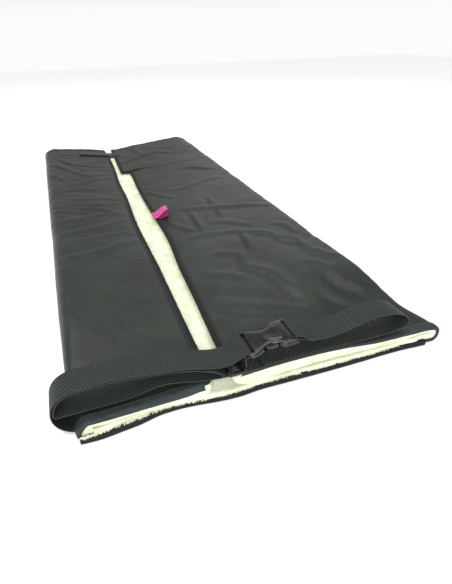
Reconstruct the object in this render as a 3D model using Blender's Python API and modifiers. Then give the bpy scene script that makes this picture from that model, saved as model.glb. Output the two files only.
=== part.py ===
"""A fleece-lined leg wrap: a back panel, two front flaps, a waist belt and a side-release buckle.

Blender 4.5, metres, +Z up. The wrap lies shut on its back: +Y runs from the waist to the foot end,
+X to the right, and the origin is at the bottom centre of the whole object.
"""
import math

import bpy
import bmesh
from mathutils import Matrix, Vector

# ---- overall sizes ---------------------------------------------------------------------------
WIDTH = 0.535            # across the two side folds
LENGTH = 1.365           # waist edge to foot edge
LEFT_SIDE_X = -0.25875   # outside of the left fold; the belt's loop stands out beyond it
WAIST_Y = -0.681         # waist edge of the back panel
SIDE_HEIGHT = 0.045      # thickness of the wrap along its side folds
WAIST_SIDE_HEIGHT = 0.029
WAIST_SLIT_HEIGHT = 0.033
FOOT_SLIT_HEIGHT = 0.020
BELT_ZONE = 0.070        # length at the waist that stays low under the belt
SIDE_RISE = 0.180        # length over which the sides swell to SIDE_HEIGHT
FOLD_FLAT = 0.004        # flat part of a side fold before its bend

# ---- cloth and gaps --------------------------------------------------------------------------
GAP = 0.0003             # between pieces that touch
SHELL_T = 0.0015         # nylon and its backing
BACK_PILE_T = 0.008      # fleece of the back panel
TRIM_T = 0.0010          # edge binding
TRIM_W = 0.010           # how far a binding laps over the flap
FLAP_SETBACK = 0.010     # the flaps stop this far short of the back panel's waist edge

# ---- front opening, as distances from the left side ------------------------------------------
SLIT_LEFT_WAIST = 0.181
SLIT_LEFT_FOOT = 0.214
SLIT_RIGHT_WAIST = 0.2105
SLIT_RIGHT_FOOT = 0.268
CUFF_START = 1.030       # from the waist edge to the cuff's hem
CUFF_LAP = 0.028         # the cuff reaches this far over the opening

# ---- foot tab and side tag -------------------------------------------------------------------
TAB_ROOT = 0.258         # from the left side to the tab's sewn end
TAB_LENGTH = 0.140
TAB_W = 0.045
TAB_FROM_FOOT = 0.085    # foot edge to the middle of the tab
TAB_T = 0.0015
TAPE_T = 0.0012          # hook tape and loop tape
TAPE_LENGTH = 0.060
TAG_FROM_WAIST = 0.603
TAG_W = 0.040
TAG_T = 0.0008

# ---- belt ------------------------------------------------------------------------------------
WEB_W = 0.040
WEB_T = 0.0018
WEB_CLEARANCE = 0.001    # between the webbing's edge and the end of a slot
LOOP_X = 0.016           # centre of the left loop, from the left side
LOOP_STANDS = 0.0324     # top of the left loop, above the flaps
ANCHOR_LENGTH = 0.090
ANCHOR_Y = 0.042         # middle of the anchored end, from the waist edge
ANCHOR_ROOM = 2.5        # height of its notch in the left fold, in thicknesses of the webbing

# ---- buckle and slider: places from the left side, the waist edge and the flaps' top ---------
BUCKLE_X = 0.267
BUCKLE_Y = 0.029
BUCKLE_ABOVE = 0.0309
BUCKLE_PITCH = math.radians(-5.5)
BUCKLE_HALF_L = 0.0372
BUCKLE_HALF_T = 0.005
BUCKLE_CHEEK = 0.005     # beside the webbing's slot
BUCKLE_WALL = 0.002
BUCKLE_ROUND = 0.0012
BAR_IN = 0.002           # web bar's centre, from the buckle's end
BAR_R = 0.0016           # half the thickness of the bar that the webbing wraps
MOUTH_X = 0.018          # mouth of the socket, from the buckle's middle
SOCKET_CHEEK = 0.0055    # wall beside the socket
SOCKET_DEPTH = 0.040
WAIST_R = 0.016          # round notches that narrow the buckle's middle
WAIST_DEPTH = 0.0045
GRIP_BACK = -0.006       # side windows that the prongs' grips show through
GRIP_FRONT = 0.010
GRIP_HALF_W = 0.006
PRONG_GAP = 0.0004
PRONG_CLEAR_T = 0.0005
TONGUE_REACH = 0.036     # guide tongue of the male half, from the socket's mouth
TONGUE_HALF_W = 0.004
SLIDER_X = 0.210
SLIDER_Y = 0.022
SLIDER_ABOVE = 0.0119
SLIDER_BAR = 0.003
SLIDER_SLOT = 0.0065
SLIDER_T = 0.003
SLIDER_CHEEK = 0.004
SLIDER_ROUND = 0.0008

RIGHT_SIDE_X = LEFT_SIDE_X + WIDTH
FOOT_Y = WAIST_Y + LENGTH
FOLD_R = SIDE_HEIGHT / 2
LEFT_HINGE_X = LEFT_SIDE_X + FOLD_R + FOLD_FLAT
RIGHT_HINGE_X = RIGHT_SIDE_X - FOLD_R - FOLD_FLAT
BACK_TOP = WEB_T + GAP + BACK_PILE_T
FLAP_BOTTOM = BACK_TOP + GAP
FLAP_WAIST_Y = WAIST_Y + FLAP_SETBACK
FLAP_FOOT_Y = FOOT_Y - TRIM_T - GAP
CUFF_Y = WAIST_Y + CUFF_START
BELT_REST = max(WAIST_SIDE_HEIGHT, WAIST_SLIT_HEIGHT) + TRIM_T + 2 * GAP
BELT_CLEAR = TRIM_T + 2 * GAP + WEB_T / 2
LOOP_Z = (BELT_REST + LOOP_STANDS) / 2
WEB_SLOT_W = WEB_W + 2 * WEB_CLEARANCE
BUCKLE_HALF_W = WEB_SLOT_W / 2 + BUCKLE_CHEEK
BUCKLE_Z = BELT_REST + BUCKLE_ABOVE
BAR_X = BUCKLE_HALF_L - BAR_IN
WRAP_R = BAR_R * math.sqrt(2) + GAP + WEB_T / 2
SOCKET_HALF_W = BUCKLE_HALF_W - SOCKET_CHEEK
SOCKET_HALF_T = BUCKLE_HALF_T - BUCKLE_WALL
PRONG_HALF_T = SOCKET_HALF_T - PRONG_CLEAR_T
SLIDER_Z = BELT_REST + SLIDER_ABOVE
SLIDER_L = WEB_SLOT_W + 2 * SLIDER_CHEEK


# ---- small helpers ---------------------------------------------------------------------------
def mix(a, b, share):
    return a + (b - a) * share


def smooth_share(value):
    share = min(max(value, 0.0), 1.0)
    return share * share * (3 - 2 * share)


def steps(start, end, count):
    return [mix(start, end, i / count) for i in range(count + 1)]


def at(x, y, z):
    """A point given by its distance from the left side and from the waist edge."""
    return Vector((LEFT_SIDE_X + x, WAIST_Y + y, z))


def start_scene():
    for item in list(bpy.data.objects):
        bpy.data.objects.remove(item, do_unlink=True)
    for name in ("leg_wrap", "cutters"):
        bpy.context.scene.collection.children.link(bpy.data.collections.new(name))


def material(name, colour, roughness, metallic=0.0):
    found = bpy.data.materials.get(name)
    if found:
        return found
    made = bpy.data.materials.new(name)
    made.use_nodes = True
    shader = made.node_tree.nodes["Principled BSDF"]
    shader.inputs["Base Color"].default_value = (*colour, 1.0)
    shader.inputs["Roughness"].default_value = roughness
    shader.inputs["Metallic"].default_value = metallic
    return made


def nylon():
    return material("coated_nylon", (0.060, 0.070, 0.060), 0.45)


def fleece():
    return material("cream_fleece", (0.75, 0.80, 0.57), 0.95)


def binding():
    return material("edge_binding", (0.030, 0.036, 0.036), 0.60)


def webbing():
    return material("belt_webbing", (0.022, 0.028, 0.024), 0.70)


def plastic():
    return material("buckle_plastic", (0.018, 0.016, 0.017), 0.30)


def add_mesh(name, mesh, finish, collection="leg_wrap"):
    obj = bpy.data.objects.new(name, mesh)
    bpy.data.collections[collection].objects.link(obj)
    if finish:
        mesh.materials.append(finish)
    return obj


def wall(bm, a, b, c, d):
    """Two triangles, split so that a layer and the one lying on it bend along the same lines."""
    if c.co.x - a.co.x >= d.co.x - b.co.x:
        bm.faces.new((a, b, c))
        bm.faces.new((a, c, d))
    else:
        bm.faces.new((a, b, d))
        bm.faces.new((b, c, d))


def loft(name, rings, finish):
    """A closed body through rings of as many points each, with flat ends."""
    bm = bmesh.new()
    made = [[bm.verts.new(p) for p in ring] for ring in rings]
    count = len(rings[0])
    for here, there in zip(made, made[1:]):
        for i in range(count):
            j = (i + 1) % count
            wall(bm, here[i], here[j], there[j], there[i])
    bm.faces.new(reversed(made[0]))
    bm.faces.new(made[-1])
    bmesh.ops.recalc_face_normals(bm, faces=bm.faces)
    mesh = bpy.data.meshes.new(name)
    bm.to_mesh(mesh)
    bm.free()
    return add_mesh(name, mesh, finish)


def strip(name, path, width, thickness, finish):
    """A band that follows a path of points along its middle, its width lying along Y."""
    bm = bmesh.new()
    half = Vector((0, width / 2, 0))
    rows = [(bm.verts.new(p - half), bm.verts.new(p + half)) for p in path]
    for here, there in zip(rows, rows[1:]):
        bm.faces.new((here[0], there[0], there[1], here[1]))
    mesh = bpy.data.meshes.new(name)
    bm.to_mesh(mesh)
    bm.free()
    obj = add_mesh(name, mesh, finish)
    solid = obj.modifiers.new("thickness", "SOLIDIFY")
    solid.thickness = thickness
    solid.offset = 0
    solid.use_even_offset = True
    return obj


def curve_through(points, per_span=4):
    """Points on a smooth line through the given ones (Catmull-Rom)."""
    ends = [points[0] * 2 - points[1], *points, points[-1] * 2 - points[-2]]
    line = []
    for a, b, c, d in zip(ends, ends[1:], ends[2:], ends[3:]):
        for i in range(per_span):
            t = i / per_span
            line.append(0.5 * (2 * b + (c - a) * t + (2 * a - 5 * b + 4 * c - d) * t * t
                               + (3 * b - a - 3 * c + d) * t ** 3))
    return [*line, points[-1]]


def arc(centre, radius, start_deg, end_deg, count):
    """Points round a circle in the XZ plane, counted from +X towards +Z."""
    turns = [math.radians(mix(start_deg, end_deg, i / count)) for i in range(count + 1)]
    return [centre + Vector((math.cos(t), 0, math.sin(t))) * radius for t in turns]


# ---- the form of the closed wrap -------------------------------------------------------------
def side_height(y):
    rise = (y - WAIST_Y - BELT_ZONE) / SIDE_RISE
    return mix(WAIST_SIDE_HEIGHT, SIDE_HEIGHT, smooth_share(rise))


def slit_height(y):
    return mix(WAIST_SLIT_HEIGHT, FOOT_SLIT_HEIGHT, (y - WAIST_Y) / LENGTH)


def slit_left(y):
    return LEFT_SIDE_X + mix(SLIT_LEFT_WAIST, SLIT_LEFT_FOOT, (y - WAIST_Y) / LENGTH)


def slit_right(y):
    return LEFT_SIDE_X + mix(SLIT_RIGHT_WAIST, SLIT_RIGHT_FOOT, (y - WAIST_Y) / LENGTH)


def cuff_edge(y):
    return slit_right(y) - CUFF_LAP


def flap_top(x, y):
    """Height of the flaps' outer face, low along the opening and high along the folds."""
    if x < slit_left(y):
        share = (slit_left(y) - x) / (slit_left(y) - LEFT_HINGE_X)
    elif x > slit_right(y):
        share = (x - slit_right(y)) / (RIGHT_HINGE_X - slit_right(y))
    else:
        share = 0.0
    return mix(slit_height(y), side_height(y), min(share, 1.0))


def over_flap(name, row_at, y_low, y_high, lift, thickness, finish, along=14):
    """A layer of one thickness that follows the flaps' outer face, lifted above it."""
    rings = []
    for y in steps(y_low, y_high, along):
        row = row_at(y)
        top = [Vector((x, y, flap_top(x, y) + lift + thickness)) for x in row]
        low = [Vector((x, y, flap_top(x, y) + lift)) for x in reversed(row)]
        rings.append(top + low)
    return loft(name, rings, finish)


def left_flap_row(y):
    return steps(LEFT_HINGE_X + GAP, slit_left(y), 8)


def right_flap_row(y):
    return steps(slit_right(y), RIGHT_HINGE_X - GAP, 8)


def cuff_row(y):
    return [cuff_edge(y), *right_flap_row(y)]


# ---- back panel ------------------------------------------------------------------------------
def slab(name, x_low, x_high, y_low, y_high, z_low, z_high, finish, collection="leg_wrap"):
    mesh = bpy.data.meshes.new(name)
    bm = bmesh.new()
    bmesh.ops.create_cube(bm, size=1.0)
    size = Vector((x_high - x_low, y_high - y_low, z_high - z_low))
    middle = Vector((x_high + x_low, y_high + y_low, z_high + z_low)) / 2
    bmesh.ops.scale(bm, vec=size, verts=bm.verts)
    bmesh.ops.translate(bm, vec=middle, verts=bm.verts)
    bm.to_mesh(mesh)
    bm.free()
    return add_mesh(name, mesh, finish, collection)


def cut(obj, cutter):
    cutter.hide_render = True
    cutter.display_type = "WIRE"
    op = obj.modifiers.new("cut", "BOOLEAN")
    op.operation = "DIFFERENCE"
    op.solver = "EXACT"
    op.object = cutter
    return op


def anchor_notch(name, height):
    """Room for the belt's anchored end, which lies flush in the underside."""
    middle = WAIST_Y + ANCHOR_Y
    half = WEB_W / 2 + 2 * GAP
    reach = LEFT_SIDE_X + LOOP_X + ANCHOR_LENGTH + 2 * GAP
    return slab(name, LEFT_SIDE_X - TRIM_W, reach, middle - half, middle + half,
                -height, height, None, "cutters")


def build_back_panel():
    x_low = LEFT_HINGE_X + GAP
    x_high = RIGHT_HINGE_X - GAP
    y_low = WAIST_Y + TRIM_T + GAP
    y_high = FOOT_Y - TRIM_T - GAP
    shell = slab("back_shell", x_low, x_high, y_low, y_high, 0, SHELL_T, nylon())
    cut(shell, anchor_notch("back_notch", SHELL_T + GAP))
    slab("back_fleece", x_low, x_high, y_low, y_high, WEB_T + GAP, BACK_TOP, fleece())
    slab("back_waist_binding", x_low, x_high, WAIST_Y, WAIST_Y + TRIM_T, 0, BACK_TOP, binding())
    slab("back_foot_binding", x_low, x_high, FOOT_Y - TRIM_T, FOOT_Y, 0, BACK_TOP, binding())


def fold_outline(y, inset, side):
    """Half a turn of the side fold from under the panel to the top of the flap."""
    radius = side_height(y) / 2
    edge = LEFT_SIDE_X if side < 0 else RIGHT_SIDE_X
    hinge = LEFT_HINGE_X if side < 0 else RIGHT_HINGE_X
    centre = Vector((edge - side * radius, y, radius))
    turns = [math.radians(-90 + 180 * i / 12) for i in range(13)]
    bend = [centre + Vector((side * math.cos(t), 0, math.sin(t))) * (radius - inset) for t in turns]
    low = Vector((hinge, y, inset))
    high = Vector((hinge, y, 2 * radius - inset))
    return [low, *bend, high]


def build_side_folds():
    for side, name in ((-1, "left"), (1, "right")):
        rows = steps(WAIST_Y, FOOT_Y, 16)
        shell_rings = []
        pile_rings = []
        for y in rows:
            outer = fold_outline(y, 0, side)
            inner = fold_outline(y, SHELL_T, side)
            shell_rings.append(outer + inner[::-1])
            pile_rings.append(fold_outline(y, SHELL_T + GAP, side))
        shell = loft(f"{name}_side_fold_shell", shell_rings, nylon())
        pile = loft(f"{name}_side_fold_fleece", pile_rings, fleece())
        if side < 0:
            notch = anchor_notch("fold_notch", ANCHOR_ROOM * WEB_T)
            cut(shell, notch)
            cut(pile, notch)


# ---- front flaps -----------------------------------------------------------------------------
def pile_under_flap(name, row_at):
    """Fleece that fills the space between the back panel and a flap's shell."""
    rings = []
    for y in steps(FLAP_WAIST_Y, FLAP_FOOT_Y, 14):
        row = row_at(y)
        top = [Vector((x, y, flap_top(x, y) - SHELL_T - GAP)) for x in row]
        low = [Vector((x, y, FLAP_BOTTOM)) for x in reversed(row)]
        rings.append(top + low)
    loft(name, rings, fleece())


def edge_trim(name, stations, inward, lift, bottom, finish):
    """A binding laid over an edge: one leg on top, one down the edge to the given height."""
    rings = []
    for x, y in stations:
        edge = Vector((x, y, 0))
        inner = edge + inward * TRIM_W
        face = edge - inward * GAP
        outer = face - inward * TRIM_T
        high = flap_top(x, y) + lift
        high_in = flap_top(inner.x, inner.y) + lift
        foot = bottom(x, y)
        rings.append([
            Vector((inner.x, inner.y, high_in)),
            Vector((inner.x, inner.y, high_in + TRIM_T)),
            Vector((outer.x, outer.y, high + TRIM_T)),
            Vector((outer.x, outer.y, foot)),
            Vector((face.x, face.y, foot)),
            Vector((face.x, face.y, high)),
        ])
    return loft(name, rings, finish)


def flap_floor(x, y):
    return FLAP_BOTTOM


def under_cuff(x, y):
    return flap_top(x, y) + GAP


def build_flaps():
    for side, row_at in (("left", left_flap_row), ("right", right_flap_row)):
        over_flap(f"{side}_flap_shell", row_at, FLAP_WAIST_Y, FLAP_FOOT_Y, -SHELL_T, SHELL_T, nylon())
        pile_under_flap(f"{side}_flap_fleece", row_at)
    for side in ("waist", "foot"):
        y = FLAP_WAIST_Y if side == "waist" else FLAP_FOOT_Y
        inward = Vector((0, 1, 0)) if side == "waist" else Vector((0, -1, 0))
        cuffed = side == "foot"
        lift = 2 * GAP + SHELL_T if cuffed else GAP
        left_row = [(x, y) for x in left_flap_row(y)]
        right_row = [(x, y) for x in right_flap_row(y)]
        edge_trim(f"left_{side}_binding", left_row, inward, GAP, flap_floor, binding())
        edge_trim(f"right_{side}_binding", right_row, inward, lift, flap_floor, binding())


def build_slit_bindings():
    first = FLAP_WAIST_Y + TRIM_W + 2 * GAP
    last = FLAP_FOOT_Y - TRIM_W - 2 * GAP
    left = Vector((-1, 0, 0))
    right = Vector((1, 0, 0))
    edge_trim("left_slit_binding", [(slit_left(y), y) for y in steps(first, last, 14)],
              left, GAP, flap_floor, binding())
    edge_trim("right_slit_binding", [(slit_right(y), y) for y in steps(first, CUFF_Y - GAP, 14)],
              right, GAP, flap_floor, binding())


def build_cuff():
    over_flap("foot_cuff", cuff_row, CUFF_Y, FLAP_FOOT_Y, GAP, SHELL_T, nylon(), along=6)
    last = FLAP_FOOT_Y - TRIM_W - 2 * GAP
    edge_trim("cuff_binding", [(cuff_edge(y), y) for y in steps(CUFF_Y, last, 6)],
              Vector((1, 0, 0)), 2 * GAP + SHELL_T, under_cuff, binding())


# ---- foot tab and side tag -------------------------------------------------------------------
def build_foot_tab():
    middle = FOOT_Y - TAB_FROM_FOOT
    low_y = middle - TAB_W / 2
    high_y = middle + TAB_W / 2
    root = LEFT_SIDE_X + TAB_ROOT
    tip = root - TAB_LENGTH
    tape_low = tip + TAB_T
    tape_high = tape_low + TAPE_LENGTH
    margin = 2 * TAB_T
    for name, lift in (("foot_tab_loop_tape", GAP), ("foot_tab_hook_tape", 2 * GAP + TAPE_T)):
        over_flap(name, lambda y: [tape_low, tape_high], low_y + margin, high_y - margin,
                  lift, TAPE_T, binding(), along=1)
    high = max(3 * GAP + SHELL_T + TRIM_T, 3 * GAP + 2 * TAPE_T)
    seated = 2 * GAP + SHELL_T
    rings = []
    for y in steps(low_y, high_y, 2):
        trim_end = cuff_edge(y) + TRIM_W + 2 * GAP
        seat = trim_end + TRIM_W / 2
        marks = [(tip, high), (slit_left(y), high), (cuff_edge(y), high), (trim_end, high), (seat, seated)]
        marks += [(slit_right(y), seated)] if seat < slit_right(y) < root else []
        marks += [(root, seated)]
        top = [Vector((x, y, flap_top(x, y) + up + TAB_T)) for x, up in marks]
        low = [Vector((x, y, flap_top(x, y) + up)) for x, up in marks]
        rings.append(top + low[::-1])
    loft("foot_tab", rings, nylon())


def build_side_tag():
    y = WAIST_Y + TAG_FROM_WAIST
    x = slit_right(y) + TRIM_T
    highest = max(flap_top(x, y - TAG_W / 2), flap_top(x, y + TAG_W / 2))
    z = highest + 2 * GAP + TRIM_T + TAG_T / 2
    route = [(0, 0), (0.012, 0.0012), (0.026, 0.0045), (0.035, 0.011), (0.031, 0.018),
             (0.019, 0.0155), (0.008, 0.0065), (0, 2 * TAG_T)]
    path = curve_through([Vector((x + u, y, z + w)) for u, w in route])
    strip("side_tag", path, TAG_W, TAG_T, material("pink_ribbon", (0.60, 0.026, 0.26), 0.6))


# ---- buckle ----------------------------------------------------------------------------------
def buckle_matrix():
    return Matrix.Translation(at(BUCKLE_X, BUCKLE_Y, BUCKLE_Z)) @ Matrix.Rotation(BUCKLE_PITCH, 4, "Y")


def bar_centre(side):
    return buckle_matrix() @ Vector((side * BAR_X, 0, 0))


def round_cutter(name, radius, height, centre):
    mesh = bpy.data.meshes.new(name)
    bm = bmesh.new()
    bmesh.ops.create_cone(bm, cap_ends=True, segments=48, radius1=radius, radius2=radius, depth=height)
    bmesh.ops.translate(bm, vec=centre, verts=bm.verts)
    bm.to_mesh(mesh)
    bm.free()
    return add_mesh(name, mesh, None, "cutters")


def block(name, x_low, x_high, half_w, z_low, z_high, collection="cutters", middle_y=0.0):
    finish = plastic() if collection != "cutters" else None
    return slab(name, x_low, x_high, middle_y - half_w, middle_y + half_w, z_low, z_high, finish, collection)


def place_in_buckle(*items):
    for item in items:
        item.matrix_world = buckle_matrix()


def cut_web_bar(body, side):
    """Leaves a thin bar across the buckle's end, with a slot beside it for the webbing."""
    far = side * (BUCKLE_HALF_L + BUCKLE_WALL)
    slot_end = side * (BAR_X - BAR_R - 3 * WEB_T)
    bar_face = side * (BAR_X - BAR_R)
    half = WEB_SLOT_W / 2
    tall = 2 * BUCKLE_HALF_T
    names = f"{body.name}_web"
    low, high = sorted((slot_end, bar_face))
    out_low, out_high = sorted((slot_end, far))
    cutters = [
        block(f"{names}_slot", low, high, half, -tall, tall),
        block(f"{names}_over", out_low, out_high, half, BAR_R, tall),
        block(f"{names}_under", out_low, out_high, half, -tall, -BAR_R),
    ]
    for cutter in cutters:
        cut(body, cutter)
    place_in_buckle(*cutters)


def round_edges(obj, width, segments=2):
    bevel = obj.modifiers.new("edges", "BEVEL")
    bevel.width = width
    bevel.segments = segments
    bevel.limit_method = "ANGLE"


def build_female():
    body = block("female_buckle", -BUCKLE_HALF_L, MOUTH_X, BUCKLE_HALF_W, -BUCKLE_HALF_T, BUCKLE_HALF_T,
                 "leg_wrap")
    round_edges(body, BUCKLE_ROUND)
    cut_web_bar(body, -1)
    socket = block("socket", MOUTH_X - SOCKET_DEPTH, MOUTH_X + BUCKLE_WALL, SOCKET_HALF_W,
                   -SOCKET_HALF_T, SOCKET_HALF_T)
    cut(body, socket)
    place_in_buckle(body, socket)
    for side, name in ((-1, "near"), (1, "far")):
        centre = Vector((0, side * (BUCKLE_HALF_W + WAIST_R - WAIST_DEPTH), 0))
        waist = round_cutter(f"waist_{name}", WAIST_R, 4 * BUCKLE_HALF_T, centre)
        grip = block(f"grip_{name}", GRIP_BACK, GRIP_FRONT, GRIP_HALF_W, -SOCKET_HALF_T, SOCKET_HALF_T,
                     middle_y=side * (BUCKLE_HALF_W - WAIST_DEPTH))
        cut(body, waist)
        cut(body, grip)
        place_in_buckle(waist, grip)


def build_male():
    base_x = MOUTH_X + PRONG_GAP
    body = block("male_buckle", base_x, BUCKLE_HALF_L, BUCKLE_HALF_W, -BUCKLE_HALF_T, BUCKLE_HALF_T,
                 "leg_wrap")
    round_edges(body, BUCKLE_ROUND)
    tongue = block("tongue", MOUTH_X - TONGUE_REACH, base_x + BUCKLE_WALL, TONGUE_HALF_W,
                   -PRONG_HALF_T, PRONG_HALF_T)
    join = cut(body, tongue)
    join.operation = "UNION"
    cut_web_bar(body, 1)
    place_in_buckle(body, tongue)


def build_prongs():
    root = MOUTH_X - PRONG_GAP / 2
    outline = [(root, 0.0070), (root, 0.0030), (0.008, 0.0023), (0.006, PRONG_GAP), (-0.004, PRONG_GAP),
               (-0.010, 0.0040), (-0.010, 0.0065), (0.004, 0.0060)]
    for side, name in ((-1, "near"), (1, "far")):
        rings = [[Vector((x, side * (SOCKET_HALF_W - inset), z)) for x, inset in outline]
                 for z in (-PRONG_HALF_T, PRONG_HALF_T)]
        prong = loft(f"release_prong_{name}", rings, plastic())
        place_in_buckle(prong)


# ---- belt: (from the left side, from the waist edge, above the flaps' top) -------------------
TOP_RUN = [
    (0.016, 0.0425, 0.0314), (0.042, 0.0420, 0.0328), (0.067, 0.0412, 0.0334), (0.097, 0.0400, 0.0299),
    (0.127, 0.0385, 0.0272), (0.147, 0.0360, 0.0259), (0.167, 0.0330, 0.0226), (0.190, 0.0300, 0.0186),
]
INNER_RUN = [
    (0.1965, 0.0232, 0.0094), (0.1910, 0.0245, 0.0124), (0.1830, 0.0270, 0.0162), (0.167, 0.0320, 0.0197),
    (0.147, 0.0355, 0.0231), (0.127, 0.0385, 0.0244), (0.097, 0.0400, 0.0271), (0.067, 0.0412, 0.0305),
    (0.042, 0.0420, 0.0300), (0.016, 0.0425, 0.0286),
]
RIGHT_FOLDED_END = [(0.330, 0.0275, 0.0225), (0.318, 0.0285, 0.0270)]
RIGHT_RUN = [
    (0.318, 0.0285, 0.0297), (0.328, 0.0280, 0.0252), (0.342, 0.0270, 0.0236), (0.359, 0.0265, 0.0246),
    (0.382, 0.0255, 0.0291), (0.405, 0.0245, 0.0359), (0.427, 0.0245, 0.0384), (0.449, 0.0240, 0.0369),
    (0.467, 0.0240, 0.0316), (0.480, 0.0235, 0.0234), (0.4838, 0.0235, 0.0159), (0.4812, 0.0235, 0.0101),
    (0.473, 0.0240, 0.0062), (0.457, 0.0245, 0.0029), (0.437, 0.0250, 0.0019), (0.407, 0.0255, 0.0019),
    (0.372, 0.0260, 0.0030), (0.352, 0.0265, 0.0043), (0.337, 0.0265, 0.0046), (0.307, 0.0270, 0.0046),
    (0.252, 0.0275, 0.0046),
]
# The lower run's heights are above where it just clears the flap's binding.
LOWER_RUN = [
    (-0.0105, 0.0425, 0.0), (-0.0045, 0.0425, 0.0), (0.004, 0.0425, 0.0), (0.014, 0.0425, 0.0),
    (0.037, 0.0420, 0.0), (0.055, 0.0415, 0.0), (0.070, 0.0410, 0.0003), (0.092, 0.0395, 0.0042),
    (0.117, 0.0380, 0.0094), (0.137, 0.0360, 0.0074), (0.157, 0.0340, 0.0040), (0.177, 0.0310, 0.0018),
    (0.207, 0.0280, 0.0013), (0.270, 0.0270, 0.0020), (0.335, 0.0260, 0.0028),
]
# Near the web bars, points are given from the top or the underside of the webbing round the bar,
# and near the slider from its middle.
TOP_RUN_END = [(-0.0260, -0.0116), (-0.0115, -0.0054)]
UNDER_BAR = [(-0.0048, -0.0014), (-0.0070, -0.0066)]
SLIDER_ENTRY = [(0.0144, 0.0030, 0.0003), (0.0132, 0.0020, -0.0027)]
FOLDED_END_TIP = (0.0080, -0.0002)
RIGHT_RUN_START = (0.0085, -0.0031)


def above_rest(rows):
    return [at(x, y, BELT_REST + up) for x, y, up in rows]


def above_flap(rows):
    return [at(x, y, flap_top(LEFT_SIDE_X + x, WAIST_Y + y) + BELT_CLEAR + up) for x, y, up in rows]


def from_bar(side, face, along, up):
    """A point near a web bar: face is 1 for the top of the webbing round it and -1 for its underside."""
    return bar_centre(side) + Vector((along, 0, face * WRAP_R + up))


def round_bar(side, start_deg, end_deg):
    return arc(bar_centre(side), WRAP_R, start_deg, end_deg, 8)


def weave_through_slider():
    """The webbing passes under the slider's outer bars and over its middle bar."""
    pitch = SLIDER_BAR + SLIDER_SLOT
    clear = SLIDER_T / 2 + 2 * GAP + WEB_T / 2
    marks = [(pitch, -clear), (0.75 * pitch, -0.8 * clear), (pitch / 2, 0), (0.25 * pitch, 0.85 * clear),
             (0, clear), (-0.25 * pitch, 0.85 * clear), (-pitch / 2, 0), (-0.75 * pitch, -0.8 * clear),
             (-pitch, -clear)]
    return [at(SLIDER_X + u, SLIDER_Y, SLIDER_Z + w) for u, w in marks]


def build_belt():
    loop = at(LOOP_X, ANCHOR_Y, LOOP_Z)
    radius = LOOP_Z - WEB_T / 2
    strip("belt_anchor_strap", [at(LOOP_X + ANCHOR_LENGTH, ANCHOR_Y, WEB_T / 2),
                                at(LOOP_X + GAP, ANCHOR_Y, WEB_T / 2)], WEB_W, WEB_T, webbing())
    strip("belt_hinge_loop", arc(loop, radius, 269, 90.6, 20), WEB_W, WEB_T, webbing())
    top_run = curve_through(above_rest(TOP_RUN) + [from_bar(-1, 1, *row) for row in TOP_RUN_END]
                            + round_bar(-1, 90, 75)[:1])
    top_run[0] = loop + Vector((GAP, 0, radius))
    strip("belt_top_strap", top_run + round_bar(-1, 90, -90)[1:], WEB_W, WEB_T, webbing())
    start = round_bar(-1, 90, -90)[-1] - Vector((2 * GAP, 0, 0))
    inner_turn = arc(loop, radius - WEB_T - 4 * GAP, 105, 170, 4)
    entry = [from_bar(-1, -1, *row) for row in UNDER_BAR]
    entry += [at(SLIDER_X + x, SLIDER_Y + y, SLIDER_Z + up) for x, y, up in SLIDER_ENTRY]
    route = [start, *entry, *weave_through_slider(), *above_rest(INNER_RUN), *inner_turn,
             *above_flap(LOWER_RUN)]
    strip("belt_adjust_strap", curve_through(route, 3), WEB_W, WEB_T, webbing())
    folded = curve_through([*above_rest(RIGHT_FOLDED_END), from_bar(1, -1, *FOLDED_END_TIP)])
    run = curve_through([from_bar(1, 1, *RIGHT_RUN_START), *above_rest(RIGHT_RUN)])
    strip("belt_short_strap", folded + round_bar(1, 270, 90) + run, WEB_W, WEB_T, webbing())


def build_slider():
    length = 3 * SLIDER_BAR + 2 * SLIDER_SLOT
    frame = slab("belt_slider", -length / 2, length / 2, -SLIDER_L / 2, SLIDER_L / 2,
                 -SLIDER_T / 2, SLIDER_T / 2, plastic())
    round_edges(frame, SLIDER_ROUND)
    frame.location = at(SLIDER_X, SLIDER_Y, SLIDER_Z)
    for side, name in ((-1, "left"), (1, "right")):
        middle = side * (SLIDER_BAR + SLIDER_SLOT) / 2
        slot = slab(f"slider_slot_{name}", middle - SLIDER_SLOT / 2, middle + SLIDER_SLOT / 2,
                    -WEB_SLOT_W / 2, WEB_SLOT_W / 2, -SLIDER_T, SLIDER_T, None, "cutters")
        slot.location = frame.location
        cut(frame, slot)


start_scene()
build_back_panel()
build_side_folds()
build_flaps()
build_slit_bindings()
build_cuff()
build_foot_tab()
build_side_tag()
build_female()
build_male()
build_prongs()
build_belt()
build_slider()
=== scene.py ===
"""Looks of a fleece-lined leg wrap that lies closed on its back, with its waist belt and buckle.

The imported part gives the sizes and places. Lengths are metres: x runs from the left fold to the
right one, y from the waist to the foot end and z up.
"""

import logging
import math
from dataclasses import dataclass
from enum import Enum
from typing import Any, Callable, ClassVar, Optional, Sequence

import bmesh
import bpy
import numpy as np
from mathutils import Matrix, Vector, noise

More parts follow.
